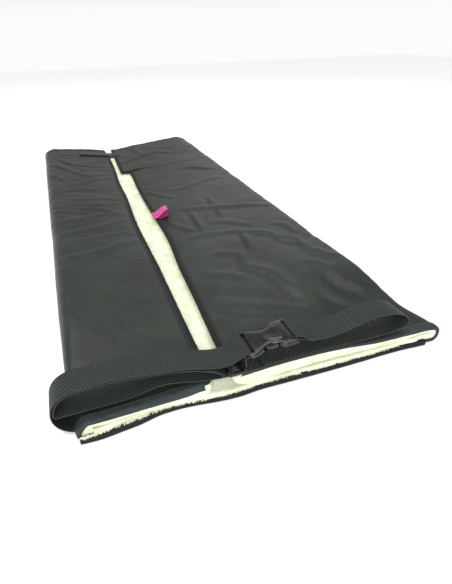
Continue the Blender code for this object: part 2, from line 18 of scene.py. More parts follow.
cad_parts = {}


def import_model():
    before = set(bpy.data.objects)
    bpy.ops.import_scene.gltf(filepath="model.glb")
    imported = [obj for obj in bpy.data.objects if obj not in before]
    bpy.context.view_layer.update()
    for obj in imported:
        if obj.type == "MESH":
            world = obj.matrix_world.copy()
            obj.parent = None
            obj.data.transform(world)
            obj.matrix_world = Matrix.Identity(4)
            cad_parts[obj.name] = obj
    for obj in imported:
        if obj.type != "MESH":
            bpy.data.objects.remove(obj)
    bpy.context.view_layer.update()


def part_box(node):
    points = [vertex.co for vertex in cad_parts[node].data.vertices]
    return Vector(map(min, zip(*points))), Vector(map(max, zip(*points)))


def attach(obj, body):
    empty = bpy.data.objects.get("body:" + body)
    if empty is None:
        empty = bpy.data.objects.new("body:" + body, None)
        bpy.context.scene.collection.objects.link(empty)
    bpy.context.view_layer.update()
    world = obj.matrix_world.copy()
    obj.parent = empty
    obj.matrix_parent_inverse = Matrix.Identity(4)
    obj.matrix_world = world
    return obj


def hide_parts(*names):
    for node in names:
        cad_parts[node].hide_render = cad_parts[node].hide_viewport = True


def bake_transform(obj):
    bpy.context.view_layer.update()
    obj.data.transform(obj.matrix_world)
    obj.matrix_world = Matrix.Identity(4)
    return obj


LOG = logging.getLogger("leg_wrap")
MM = 0.001
UV_NAME = "metres"
Rows = np.ndarray    # rows of numbers or of points


# ---- small helpers ---------------------------------------------------------------------------
def mix(a: Any, b: Any, share: Any) -> Any:
    """The value that share of the way from a to b."""
    return a + (b - a) * share


def eased(share: Any) -> Any:
    """A share from 0 to 1 with soft ends."""
    t = np.clip(share, 0.0, 1.0)
    return t * t * (3 - 2 * t)


@dataclass(frozen=True)
class Profile:
    """A smooth line through a few (place, value) points, level beyond its ends."""

    points: tuple[tuple[float, float], ...]

    def __call__(self, place: Any) -> Any:
        """The line's value at each place.

        Args:
            place: One place, or an array of them.

        Returns:
            The values, in the shape of place.
        """
        x, y = np.array(self.points, float).T
        slope = np.gradient(y, x)
        slope[[0, -1]] = 0.0
        t = np.clip(np.asarray(place, float), x[0], x[-1])
        i = np.clip(np.searchsorted(x, t) - 1, 0, len(x) - 2)
        w = x[i + 1] - x[i]
        s = (t - x[i]) / w
        left = (1 + 2 * s) * (1 - s) ** 2 * y[i] + s * (1 - s) ** 2 * w * slope[i]
        return left + s * s * (3 - 2 * s) * y[i + 1] + s * s * (s - 1) * w * slope[i + 1]


def cloud(x: Rows, y: Rows, across: float, along: float, seed: float, octaves: int = 2) -> Rows:
    """Smooth noise from about -1 to 1, with waves of the given lengths across and along.

    Args:
        x: Places across, an array.
        y: Places along, an array of the same shape.
        across: Wave length across.
        along: Wave length along.
        seed: Picks the noise.
        octaves: How many finer layers are added.

    Returns:
        The noise at each place.
    """
    flat = np.zeros(x.size)
    places = zip(x.ravel() / across, y.ravel() / along)
    for i, (u, v) in enumerate(places):
        flat[i] = noise.fractal(Vector((u, v, seed)), 0.9, 2.1, octaves)
    return flat.reshape(x.shape)


def unit(rows: Rows) -> Rows:
    """Each vector at length 1."""
    return rows / np.maximum(np.linalg.norm(rows, axis=-1, keepdims=True), 1e-12)


def through(points: Sequence[Vector], per_span: int = 6) -> list[Vector]:
    """Points on a smooth line through the given ones (Catmull-Rom).

    Args:
        points: Points to pass through, in order.
        per_span: How many points each span gets.

    Returns:
        The smooth line's points.
    """
    ends = [points[0] * 2 - points[1], *points, points[-1] * 2 - points[-2]]
    line = []
    for a, b, c, d in zip(ends, ends[1:], ends[2:], ends[3:]):
        for i in range(per_span):
            t = i / per_span
            line.append(0.5 * (2 * b + (c - a) * t + (2 * a - 5 * b + 4 * c - d) * t * t
                               + (3 * b - a - 3 * c + d) * t ** 3))
    return [*line, points[-1]]


# ---- finishes --------------------------------------------------------------------------------
def colour_of(code: str) -> tuple[float, float, float, float]:
    """The linear colour of an sRGB hex code such as #3f4440.

    Args:
        code: The sRGB hex code.

    Returns:
        Red, green, blue and alpha, linear.
    """
    parts = [int(code[i:i + 2], 16) / 255 for i in (1, 3, 5)]
    linear = [p / 12.92 if p <= 0.04045 else ((p + 0.055) / 1.055) ** 2.4 for p in parts]
    return (*linear, 1.0)


def add_node(tree: bpy.types.NodeTree, kind: str, inputs: Optional[dict] = None,
             **settings: Any) -> bpy.types.Node:
    """Adds a shader node.

    Args:
        tree: The node tree that gets it.
        kind: The node's type.
        inputs: Input name or number, and its value or the output that it is linked to.
        **settings: The node's own properties.

    Returns:
        The node.
    """
    node = tree.nodes.new(kind)
    for name, value in settings.items():
        setattr(node, name, value)
    for key, value in (inputs or {}).items():
        if isinstance(value, bpy.types.NodeSocket):
            tree.links.new(value, node.inputs[key])
        else:
            node.inputs[key].default_value = value
    return node


@dataclass(frozen=True)
class Finish:
    """A material: its name, its two main colours and how it shines."""

    name: str
    colour: str
    second: str
    roughness: float
    ior: float = 1.5
    sheen: float = 0.0

    def material(self) -> bpy.types.Material:
        """The Blender material, made the first time it is asked for.

        Returns:
            The material.
        """
        found = bpy.data.materials.get(self.name)
        if found:
            return found
        made = bpy.data.materials.new(self.name)
        made.use_nodes = True
        tree = made.node_tree
        shader = tree.nodes["Principled BSDF"]
        shader.inputs["Roughness"].default_value = self.roughness
        shader.inputs["IOR"].default_value = self.ior
        shader.inputs["Sheen Weight"].default_value = self.sheen
        self.pattern(tree, shader)
        return made

    def place(self, tree: bpy.types.NodeTree) -> bpy.types.NodeSocket:
        """Places on the piece, in metres on the cloth."""
        return add_node(tree, "ShaderNodeUVMap", uv_map=UV_NAME).outputs["UV"]

    def solid_place(self, tree: bpy.types.NodeTree) -> bpy.types.NodeSocket:
        """Places in the piece's own space, in metres."""
        return add_node(tree, "ShaderNodeTexCoord").outputs["Object"]

    def clouds(self, tree: bpy.types.NodeTree, where: bpy.types.NodeSocket, size: float,
               detail: float = 3.0) -> bpy.types.NodeSocket:
        """Noise with lumps of about that size."""
        made = add_node(tree, "ShaderNodeTexNoise", {"Vector": where, "Scale": 1 / size, "Detail": detail})
        return made.outputs["Fac"]

    def wave(self, tree: bpy.types.NodeTree, value: bpy.types.NodeSocket,
             pitch: float) -> bpy.types.NodeSocket:
        """A sine wave of the given pitch along a coordinate."""
        turned = add_node(tree, "ShaderNodeMath", {0: value, 1: 2 * math.pi / pitch}, operation="MULTIPLY")
        return add_node(tree, "ShaderNodeMath", {0: turned.outputs[0]}, operation="SINE").outputs[0]

    def two_tone(self, tree: bpy.types.NodeTree, shader: bpy.types.Node, share: bpy.types.NodeSocket,
                 low: float = 0.35, high: float = 0.65) -> None:
        """Mixes the two colours by a share that runs from low to high.

        Args:
            tree: The material's node tree.
            shader: Its surface shader.
            share: The pattern that picks the tone.
            low: Where the second colour ends.
            high: Where the main colour is full.
        """
        ramp = add_node(tree, "ShaderNodeValToRGB", {"Fac": share})
        ramp.color_ramp.elements[0].position = low
        ramp.color_ramp.elements[0].color = colour_of(self.second)
        ramp.color_ramp.elements[1].position = high
        ramp.color_ramp.elements[1].color = colour_of(self.colour)
        tree.links.new(ramp.outputs["Color"], shader.inputs["Base Color"])

    def bump(self, tree: bpy.types.NodeTree, shader: bpy.types.Node, height: bpy.types.NodeSocket,
             depth: float, strength: float = 1.0) -> None:
        """Raises the surface by the height, up to that depth."""
        made = add_node(tree, "ShaderNodeBump", {"Height": height, "Distance": depth, "Strength": strength})
        tree.links.new(made.outputs["Normal"], shader.inputs["Normal"])

    def pattern(self, tree: bpy.types.NodeTree, shader: bpy.types.Node) -> None:
        """Adds the finish's own colour and relief; each finish has its own."""
        raise NotImplementedError


@dataclass(frozen=True)
class CoatedNylon(Finish):
    """Satin polyurethane-coated nylon taffeta: a close plain weave that catches light on its creases."""

    def pattern(self, tree: bpy.types.NodeTree, shader: bpy.types.Node) -> None:
        """Soft patches of two tones over a plain weave.

        Args:
            tree: The material's node tree.
            shader: Its surface shader.
        """
        where = self.place(tree)
        patches = self.clouds(tree, where, 90 * MM, 4.0)
        self.two_tone(tree, shader, patches)
        split = add_node(tree, "ShaderNodeSeparateXYZ", {"Vector": where})
        thread = 2.2 * MM  # real threads are 0.2 mm apart, too fine to show, so the weave is drawn coarser
        warp = self.wave(tree, split.outputs["X"], thread)
        weft = self.wave(tree, split.outputs["Y"], thread)
        weave = add_node(tree, "ShaderNodeMath", {0: warp, 1: weft}, operation="MULTIPLY")
        rumple = self.clouds(tree, where, 14 * MM, 3.0)
        height = add_node(tree, "ShaderNodeMath", {0: weave.outputs[0], 1: 0.02, 2: rumple},
                          operation="MULTIPLY_ADD")
        self.bump(tree, shader, height.outputs[0], 1.1 * MM, 0.55)


@dataclass(frozen=True)
class FleecePile(Finish):
    """Knitted polyester sherpa: curly tufts about 3 mm wide, matt, with shade between them."""

    def pattern(self, tree: bpy.types.NodeTree, shader: bpy.types.Node) -> None:
        """Curly lumps that are paler on top, with painted shade in the hollows between them.

        Args:
            tree: The material's node tree.
            shader: Its surface shader.
        """
        where = self.solid_place(tree)
        curls = self.clouds(tree, where, 3.2 * MM, 5.0)
        drifts = self.clouds(tree, where, 26 * MM, 2.0)
        # the curls that raise the bump also darken the colour in their hollows as painted shade; the drifts add
        # random tone
        share = add_node(tree, "ShaderNodeMath", {0: curls, 1: 0.45, 2: drifts}, operation="MULTIPLY_ADD")
        self.two_tone(tree, shader, share.outputs[0], 0.45, 0.85)
        self.bump(tree, shader, curls, 2.4 * MM, 0.8)


@dataclass(frozen=True)
class BindingTape(Finish):
    """Woven polyester grosgrain folded over an edge: fine ribs across, nearly matt."""

    def pattern(self, tree: bpy.types.NodeTree, shader: bpy.types.Node) -> None:
        """Ribs along the tape and small puckers.

        Args:
            tree: The material's node tree.
            shader: Its surface shader.
        """
        where = self.place(tree)
        split = add_node(tree, "ShaderNodeSeparateXYZ", {"Vector": where})
        ribs = self.wave(tree, split.outputs["Y"], 1.8 * MM)  # 0.5 mm on the real tape, drawn coarser
        pucker = self.clouds(tree, where, 9 * MM, 3.0)
        self.two_tone(tree, shader, pucker)
        height = add_node(tree, "ShaderNodeMath", {0: ribs, 1: 0.12, 2: pucker}, operation="MULTIPLY_ADD")
        self.bump(tree, shader, height.outputs[0], 1.2 * MM, 0.7)


@dataclass(frozen=True)
class WovenWebbing(Finish):
    """Polypropylene webbing: ribs along the band with slanted picks between them, slightly glossy."""

    def pattern(self, tree: bpy.types.NodeTree, shader: bpy.types.Node) -> None:
        """Ribs along and slanted picks: the weave is real, with painted highlight on the high threads and
        painted shade between them.

        Args:
            tree: The material's node tree.
            shader: Its surface shader.
        """
        where = self.place(tree)
        split = add_node(tree, "ShaderNodeSeparateXYZ", {"Vector": where})
        ribs = self.wave(tree, split.outputs["X"], 3.3 * MM)
        slant = add_node(tree, "ShaderNodeMath", {0: split.outputs["X"], 1: 0.55, 2: split.outputs["Y"]},
                         operation="MULTIPLY_ADD")
        picks = self.wave(tree, slant.outputs[0], 4.0 * MM)
        weave = add_node(tree, "ShaderNodeMath", {0: picks, 1: 0.9, 2: ribs}, operation="MULTIPLY_ADD")
        share = add_node(tree, "ShaderNodeMath", {0: weave.outputs[0], 1: 0.28, 2: 0.5},
                         operation="MULTIPLY_ADD")
        # the weave's height also picks the colour: painted highlight on the high threads, painted shade on the
        # low ones
        self.two_tone(tree, shader, share.outputs[0], 0.25, 0.9)
        self.bump(tree, shader, share.outputs[0], 0.8 * MM, 1.0)


@dataclass(frozen=True)
class MouldedPlastic(Finish):
    """Injection-moulded acetal: near black with a brown cast, a fine spark grain and soft gloss."""

    def pattern(self, tree: bpy.types.NodeTree, shader: bpy.types.Node) -> None:
        """A faint grain, duller where it is handled.

        Args:
            tree: The material's node tree.
            shader: Its surface shader.
        """
        where = self.solid_place(tree)
        grain = self.clouds(tree, where, 0.9 * MM, 2.0)
        wear = self.clouds(tree, where, 11 * MM, 3.0)
        self.two_tone(tree, shader, wear)
        dull = add_node(tree, "ShaderNodeMapRange", {"Value": wear, "To Min": self.roughness - 0.07,
                                                     "To Max": self.roughness + 0.1})
        tree.links.new(dull.outputs["Result"], shader.inputs["Roughness"])
        self.bump(tree, shader, grain, 0.06 * MM, 0.5)


@dataclass(frozen=True)
class LoopPile(Finish):
    """Hook-and-loop tape: a nylon ground with a rough nap of hooks or loops, matt."""

    def pattern(self, tree: bpy.types.NodeTree, shader: bpy.types.Node) -> None:
        """Rows of small hooks.

        Args:
            tree: The material's node tree.
            shader: Its surface shader.
        """
        where = self.place(tree)
        cells = add_node(tree, "ShaderNodeTexVoronoi", {"Vector": where, "Scale": 1 / (1.5 * MM)})
        self.two_tone(tree, shader, cells.outputs["Distance"], 0.1, 0.7)
        self.bump(tree, shader, cells.outputs["Distance"], 0.6 * MM, 0.9)


@dataclass(frozen=True)
class SatinRibbon(Finish):
    """Woven polyester satin ribbon: long floats across it give a soft line of gloss."""

    def pattern(self, tree: bpy.types.NodeTree, shader: bpy.types.Node) -> None:
        """Fine floats across the ribbon.

        Args:
            tree: The material's node tree.
            shader: Its surface shader.
        """
        where = self.place(tree)
        split = add_node(tree, "ShaderNodeSeparateXYZ", {"Vector": where})
        floats = self.wave(tree, split.outputs["X"], 1.4 * MM)
        shade = self.clouds(tree, where, 12 * MM, 2.0)
        self.two_tone(tree, shader, shade)
        self.bump(tree, shader, floats, 0.05 * MM, 0.5)


@dataclass(frozen=True)
class SeamlessPaper(Finish):
    """Matt studio paper: pale and even, with the faintest tooth."""

    def pattern(self, tree: bpy.types.NodeTree, shader: bpy.types.Node) -> None:
        """Barely uneven white.

        Args:
            tree: The material's node tree.
            shader: Its surface shader.
        """
        where = self.solid_place(tree)
        tooth = self.clouds(tree, where, 2 * MM, 2.0)
        self.two_tone(tree, shader, tooth, 0.2, 0.8)
        self.bump(tree, shader, tooth, 0.05 * MM, 0.2)


class Cloth(Enum):
    """The finishes of the wrap, each with the colours of its real material; the pile's and the webbing's colour
    pairs also hold painted shade and painted highlight.
    """

    SHELL = CoatedNylon("satin_coated_nylon", "#252b25", "#1b201b", 0.44, 1.35, 0.0)
    # the pile's second colour is painted shade for the hollows between the curls, mixed with random tone
    PILE = FleecePile("cream_sherpa_fleece", "#dde2cb", "#c3caaa", 0.95, 1.45, 0.1)
    EDGE = BindingTape("grosgrain_binding", "#141716", "#0d0f0e", 0.78, 1.35, 0.0)
    HEM = BindingTape("slate_grosgrain_hem", "#283133", "#1b2223", 0.62, 1.4, 0.0)
    # the webbing's main colour is painted highlight on its high threads and its second colour painted shade
    # between them
    WEB = WovenWebbing("polypropylene_webbing", "#333b35", "#050706", 0.60, 1.35, 0.0)
    PLASTIC = MouldedPlastic("moulded_acetal", "#191714", "#11100e", 0.21, 1.47)
    HOOKS = LoopPile("hook_and_loop_nylon", "#22262a", "#141718", 0.85, 1.4)
    RIBBON = SatinRibbon("satin_ribbon", "#cb2a88", "#ab1a70", 0.45, 1.45, 0.1)
    THREAD = SatinRibbon("sewing_thread", "#565d5a", "#434947", 0.5)
    PAPER = SeamlessPaper("white_seamless_paper", "#f7f7f5", "#f1f1ef", 0.9)

    def paint(self, piece: bpy.types.Object) -> None:
        """Gives a piece this finish alone."""
        piece.data.materials.clear()
        piece.data.materials.append(self.value.material())


# ---- meshes ----------------------------------------------------------------------------------
def new_piece(name: str, corners: Sequence, faces: Sequence, uv: Optional[Sequence] = None,
              smooth: bool = True) -> bpy.types.Object:
    """Makes a mesh object in the scene.

    Args:
        name: The piece's name.
        corners: Its corners.
        faces: Its faces, as numbers of corners.
        uv: A place on the cloth for each corner, in metres.
        smooth: Whether its faces are shaded smooth.

    Returns:
        The object.
    """
    mesh = bpy.data.meshes.new(name)
    mesh.from_pydata([tuple(float(v) for v in c) for c in corners], [], [tuple(f) for f in faces])
    if uv is not None:
        layer = mesh.uv_layers.new(name=UV_NAME)
        index = np.zeros(len(mesh.loops), np.int32)
        mesh.loops.foreach_get("vertex_index", index)
        layer.data.foreach_set("uv", np.asarray(uv, np.float32)[index].ravel())
    mesh.polygons.foreach_set("use_smooth", [smooth] * len(mesh.polygons))
    mesh.update()
    piece = bpy.data.objects.new(name, mesh)
    bpy.context.scene.collection.objects.link(piece)
    return piece


def grid_faces(rows: int, cols: int, start: int = 0, flip: bool = False,
               closed: bool = False) -> list[tuple]:
    """Quads of a grid of corners, numbered row by row from start.

    Args:
        rows: How many rows of corners.
        cols: How many corners in a row.
        start: The first corner's number.
        flip: Whether the faces are turned over.
        closed: Whether each row joins up with its own start.

    Returns:
        The faces, as numbers of corners.
    """
    faces = []
    last = cols if closed else cols - 1
    for r in range(rows - 1):
        for c in range(last):
            d = (c + 1) % cols
            quad = (r * cols + c, r * cols + d, (r + 1) * cols + d, (r + 1) * cols + c)
            quad = tuple(start + q for q in quad)
            faces.append(quad[::-1] if flip else quad)
    return faces


def cloth_uv(points: Rows) -> Rows:
    """Distances across and along a grid of points, in metres.

    Args:
        points: A grid of points, row by row.

    Returns:
        The distances, one row for each point.
    """
    across = np.zeros(points.shape[:2])
    across[:, 1:] = np.cumsum(np.linalg.norm(np.diff(points, axis=1), axis=2), axis=1)
    along = np.zeros(points.shape[:2])
    along[1:] = np.cumsum(np.linalg.norm(np.diff(points, axis=0), axis=2), axis=0)
    return np.stack([across, along], axis=2).reshape(-1, 2)


def grid_normals(points: Rows) -> Rows:
    """The surface's direction at each point of a grid."""
    return unit(np.cross(np.gradient(points, axis=1), np.gradient(points, axis=0)))


def skin(name: str, points: Rows, thickness: float, offset: float = -1,
         flip: bool = False) -> bpy.types.Object:
    """A sheet of cloth through a grid of points.

    Args:
        name: The piece's name.
        points: A grid of points, row by row.
        thickness: The cloth's thickness.
        offset: Where the points lie in it: -1 is its outer face, 0 its middle and 1 its inner face.
        flip: Whether the grid runs the other way round, so that its outer face is turned over.

    Returns:
        The piece.
    """
    rows, cols = points.shape[:2]
    piece = new_piece(name, points.reshape(-1, 3), grid_faces(rows, cols, flip=flip), cloth_uv(points))
    solid = piece.modifiers.new("thickness", "SOLIDIFY")
    solid.thickness = thickness
    solid.offset = offset
    return piece


def layer(name: str, top: Rows, low: Rows) -> bpy.types.Object:
    """A closed layer between two grids of points.

    Args:
        name: The piece's name.
        top: Points of its upper face, row by row.
        low: Points of its lower face, in the same order.

    Returns:
        The piece.
    """
    rows, cols = top.shape[:2]
    count = rows * cols
    rim = [(r, 0) for r in range(rows)] + [(rows - 1, c) for c in range(1, cols)]
    rim += [(r, cols - 1) for r in range(rows - 2, -1, -1)] + [(0, c) for c in range(cols - 2, 0, -1)]
    ids = [r * cols + c for r, c in rim]
    walls = [(a, a + count, b + count, b) for a, b in zip(ids, ids[1:] + ids[:1])]
    faces = grid_faces(rows, cols) + grid_faces(rows, cols, count, flip=True) + [w[::-1] for w in walls]
    corners = np.concatenate([top.reshape(-1, 3), low.reshape(-1, 3)])
    piece = new_piece(name, corners, faces, np.concatenate([cloth_uv(top), cloth_uv(low)]))
    tidy_normals(piece)
    return piece


def tidy_normals(piece: bpy.types.Object) -> None:
    """Turns every face outwards and keeps sharp corners sharp in the shading.

    Args:
        piece: The piece, whose mesh is changed.
    """
    bm = bmesh.new()
    bm.from_mesh(piece.data)
    bmesh.ops.recalc_face_normals(bm, faces=bm.faces)
    bm.to_mesh(piece.data)
    bm.free()
    piece.data.set_sharp_from_angle(angle=math.radians(50))


def steps(low: float, high: float, count: int) -> Rows:
    """Evenly spaced places, both ends among them."""
    return np.linspace(low, high, count + 1)


def ruled(low: float, high: float, pitch: float) -> Rows:
    """Places about a pitch apart, closer together near both ends.

    Args:
        low: The first place.
        high: The last place.
        pitch: The distance between places away from the ends.

    Returns:
        The places.
    """
    close = np.array([0.001, 0.0025, 0.005, 0.008])
    even_from = 0.012
    middle = steps(low + even_from, high - even_from, max(2, round((high - low - 2 * even_from) / pitch)))
    return np.concatenate([[low], low + close, middle, high - close[::-1], [high]])


# ---- the wrap's form -------------------------------------------------------------------------
@dataclass(frozen=True)
class Crease:
    """A crease pressed into the cloth: its route from the left side and the waist, its rise and width."""

    route: tuple[tuple[float, float], ...]
    rise: float
    width: float

    def lift(self, across: Rows, along: Rows) -> Rows:
        """How far the crease raises the cloth at each place: a ridge with a hollow on its near side.

        Args:
            across: Distances from the left side.
            along: Distances from the waist edge.

        Returns:
            The rise at each place.
        """
        best = np.full(across.shape, np.inf)
        signed = np.zeros(across.shape)
        share = np.zeros(across.shape)
        route = np.array(through([Vector((*p, 0)) for p in self.route], 4))[:, :2]
        spans = np.linalg.norm(np.diff(route, axis=0), axis=1)
        start = np.concatenate([[0], np.cumsum(spans)])
        for a, b, length, begun in zip(route, route[1:], spans, start):
            d = (b - a) / length
            u, v = across - a[0], along - a[1]
            t = np.clip(u * d[0] + v * d[1], 0, length)
            far = np.hypot(u - t * d[0], v - t * d[1])
            side = np.sign(u * d[1] - v * d[0])
            near = far < best
            best = np.where(near, far, best)
            signed = np.where(near, far * np.where(side == 0, 1, side), signed)
            share = np.where(near, (begun + t) / start[-1], share)
        fade = np.sqrt(np.clip(4 * share * (1 - share), 0, 1))
        s = signed / self.width
        shape = np.exp(-s * s) - 0.75 * np.exp(-((s - 1.5) ** 2)) - 0.25 * np.exp(-((s + 2.0) ** 2))
        return self.rise * fade * shape


LEFT_CREASES = (
    Crease(((0.040, 1.235), (0.080, 1.150), (0.145, 1.110), (0.190, 1.120)), 2.6 * MM, 11 * MM),
    Crease(((0.025, 1.145), (0.065, 1.075), (0.115, 1.005), (0.165, 1.020)), 2.6 * MM, 10 * MM),
    Crease(((0.010, 1.030), (0.030, 1.000), (0.065, 0.915)), 2.4 * MM, 9 * MM),
    Crease(((0.075, 0.910), (0.125, 0.945), (0.175, 0.965)), 2.4 * MM, 8 * MM),
    Crease(((0.035, 0.850), (0.090, 0.862), (0.190, 0.830)), 2.2 * MM, 8 * MM),
    Crease(((0.050, 0.773), (0.120, 0.775), (0.185, 0.755)), 2.2 * MM, 8 * MM),
    Crease(((0.090, 0.728), (0.150, 0.722), (0.187, 0.727)), 1.8 * MM, 7 * MM),
    Crease(((0.065, 0.704), (0.110, 0.698), (0.165, 0.655)), 2.0 * MM, 8 * MM),
    Crease(((0.012, 0.617), (0.060, 0.629), (0.105, 0.647), (0.160, 0.652)), 2.2 * MM, 9 * MM),
    Crease(((0.018, 0.543), (0.080, 0.566), (0.130, 0.585), (0.180, 0.615)), 2.4 * MM, 9 * MM),
    Crease(((0.045, 0.508), (0.090, 0.511), (0.130, 0.525), (0.175, 0.523)), 1.8 * MM, 8 * MM),
    Crease(((0.008, 0.425), (0.055, 0.429), (0.100, 0.448), (0.178, 0.487)), 2.6 * MM, 11 * MM),
    Crease(((0.020, 0.330), (0.080, 0.345), (0.160, 0.390)), 1.2 * MM, 14 * MM),
)
RIGHT_CREASES = (
    Crease(((0.258, 1.148), (0.315, 1.190), (0.380, 1.204), (0.440, 1.160), (0.520, 1.226)),
           3.0 * MM, 12 * MM),
    Crease(((0.323, 1.310), (0.320, 1.215)), 3.0 * MM, 9 * MM),
    Crease(((0.290, 1.056), (0.350, 1.074), (0.410, 1.120), (0.520, 1.140)), 2.6 * MM, 11 * MM),
    Crease(((0.395, 0.950), (0.435, 0.946), (0.470, 0.902), (0.502, 0.880)), 3.4 * MM, 9 * MM),
    Crease(((0.263, 0.795), (0.288, 0.741), (0.318, 0.706)), 2.2 * MM, 8 * MM),
    Crease(((0.308, 0.774), (0.365, 0.771), (0.443, 0.799), (0.498, 0.794)), 2.6 * MM, 11 * MM),
    Crease(((0.300, 0.616), (0.372, 0.592), (0.477, 0.546), (0.515, 0.520)), 3.0 * MM, 9 * MM),
    Crease(((0.397, 0.664), (0.391, 0.601)), 1.8 * MM, 7 * MM),
    Crease(((0.391, 0.575), (0.383, 0.512)), 1.8 * MM, 7 * MM),
    Crease(((0.258, 0.553), (0.285, 0.497), (0.308, 0.472)), 2.2 * MM, 8 * MM),
    Crease(((0.328, 0.594), (0.322, 0.510), (0.318, 0.454)), 2.0 * MM, 8 * MM),
    Crease(((0.250, 0.427), (0.281, 0.439), (0.321, 0.441), (0.396, 0.427)), 2.8 * MM, 10 * MM),
    Crease(((0.346, 0.500), (0.379, 0.489), (0.409, 0.458), (0.430, 0.434)), 2.4 * MM, 9 * MM),
    Crease(((0.396, 0.429), (0.387, 0.382), (0.378, 0.332)), 3.0 * MM, 9 * MM),
    Crease(((0.396, 0.424), (0.438, 0.385), (0.455, 0.344), (0.486, 0.338)), 3.6 * MM, 10 * MM),
    Crease(((0.460, 0.356), (0.478, 0.317), (0.482, 0.275), (0.506, 0.225)), 4.6 * MM, 11 * MM),
    Crease(((0.468, 0.240), (0.472, 0.205), (0.474, 0.165), (0.500, 0.122)), 5.2 * MM, 12 * MM),
    Crease(((0.342, 0.282), (0.360, 0.252), (0.374, 0.226), (0.383, 0.179), (0.406, 0.106)),
           4.6 * MM, 13 * MM),
    Crease(((0.258, 0.281), (0.301, 0.257), (0.323, 0.226)), 2.4 * MM, 10 * MM),
    Crease(((0.293, 0.346), (0.322, 0.343), (0.348, 0.315), (0.333, 0.262)), 2.6 * MM, 10 * MM),
    Crease(((0.459, 0.427), (0.488, 0.410), (0.494, 0.355)), 3.0 * MM, 8 * MM),
    Crease(((0.424, 0.146), (0.450, 0.110), (0.474, 0.095)), 3.2 * MM, 9 * MM),
    Crease(((0.228, 0.192), (0.288, 0.150), (0.360, 0.116), (0.430, 0.094)), 2.6 * MM, 15 * MM),
)


def reach(node: str, y_end: float, side: int) -> float:
    """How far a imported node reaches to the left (-1) or right (1) at one of its ends along y.

    Args:
        node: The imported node's name.
        y_end: Where along the wrap its end lies.
        side: Which way to look.

    Returns:
        The farthest place across.
    """
    mesh = bpy.data.objects[node].data
    near = [v.co.x for v in mesh.vertices if abs(v.co.y - y_end) < MM]
    return max(near) if side > 0 else min(near)


class Side(Enum):
    """The two halves of the wrap's front."""

    LEFT = -1
    RIGHT = 1


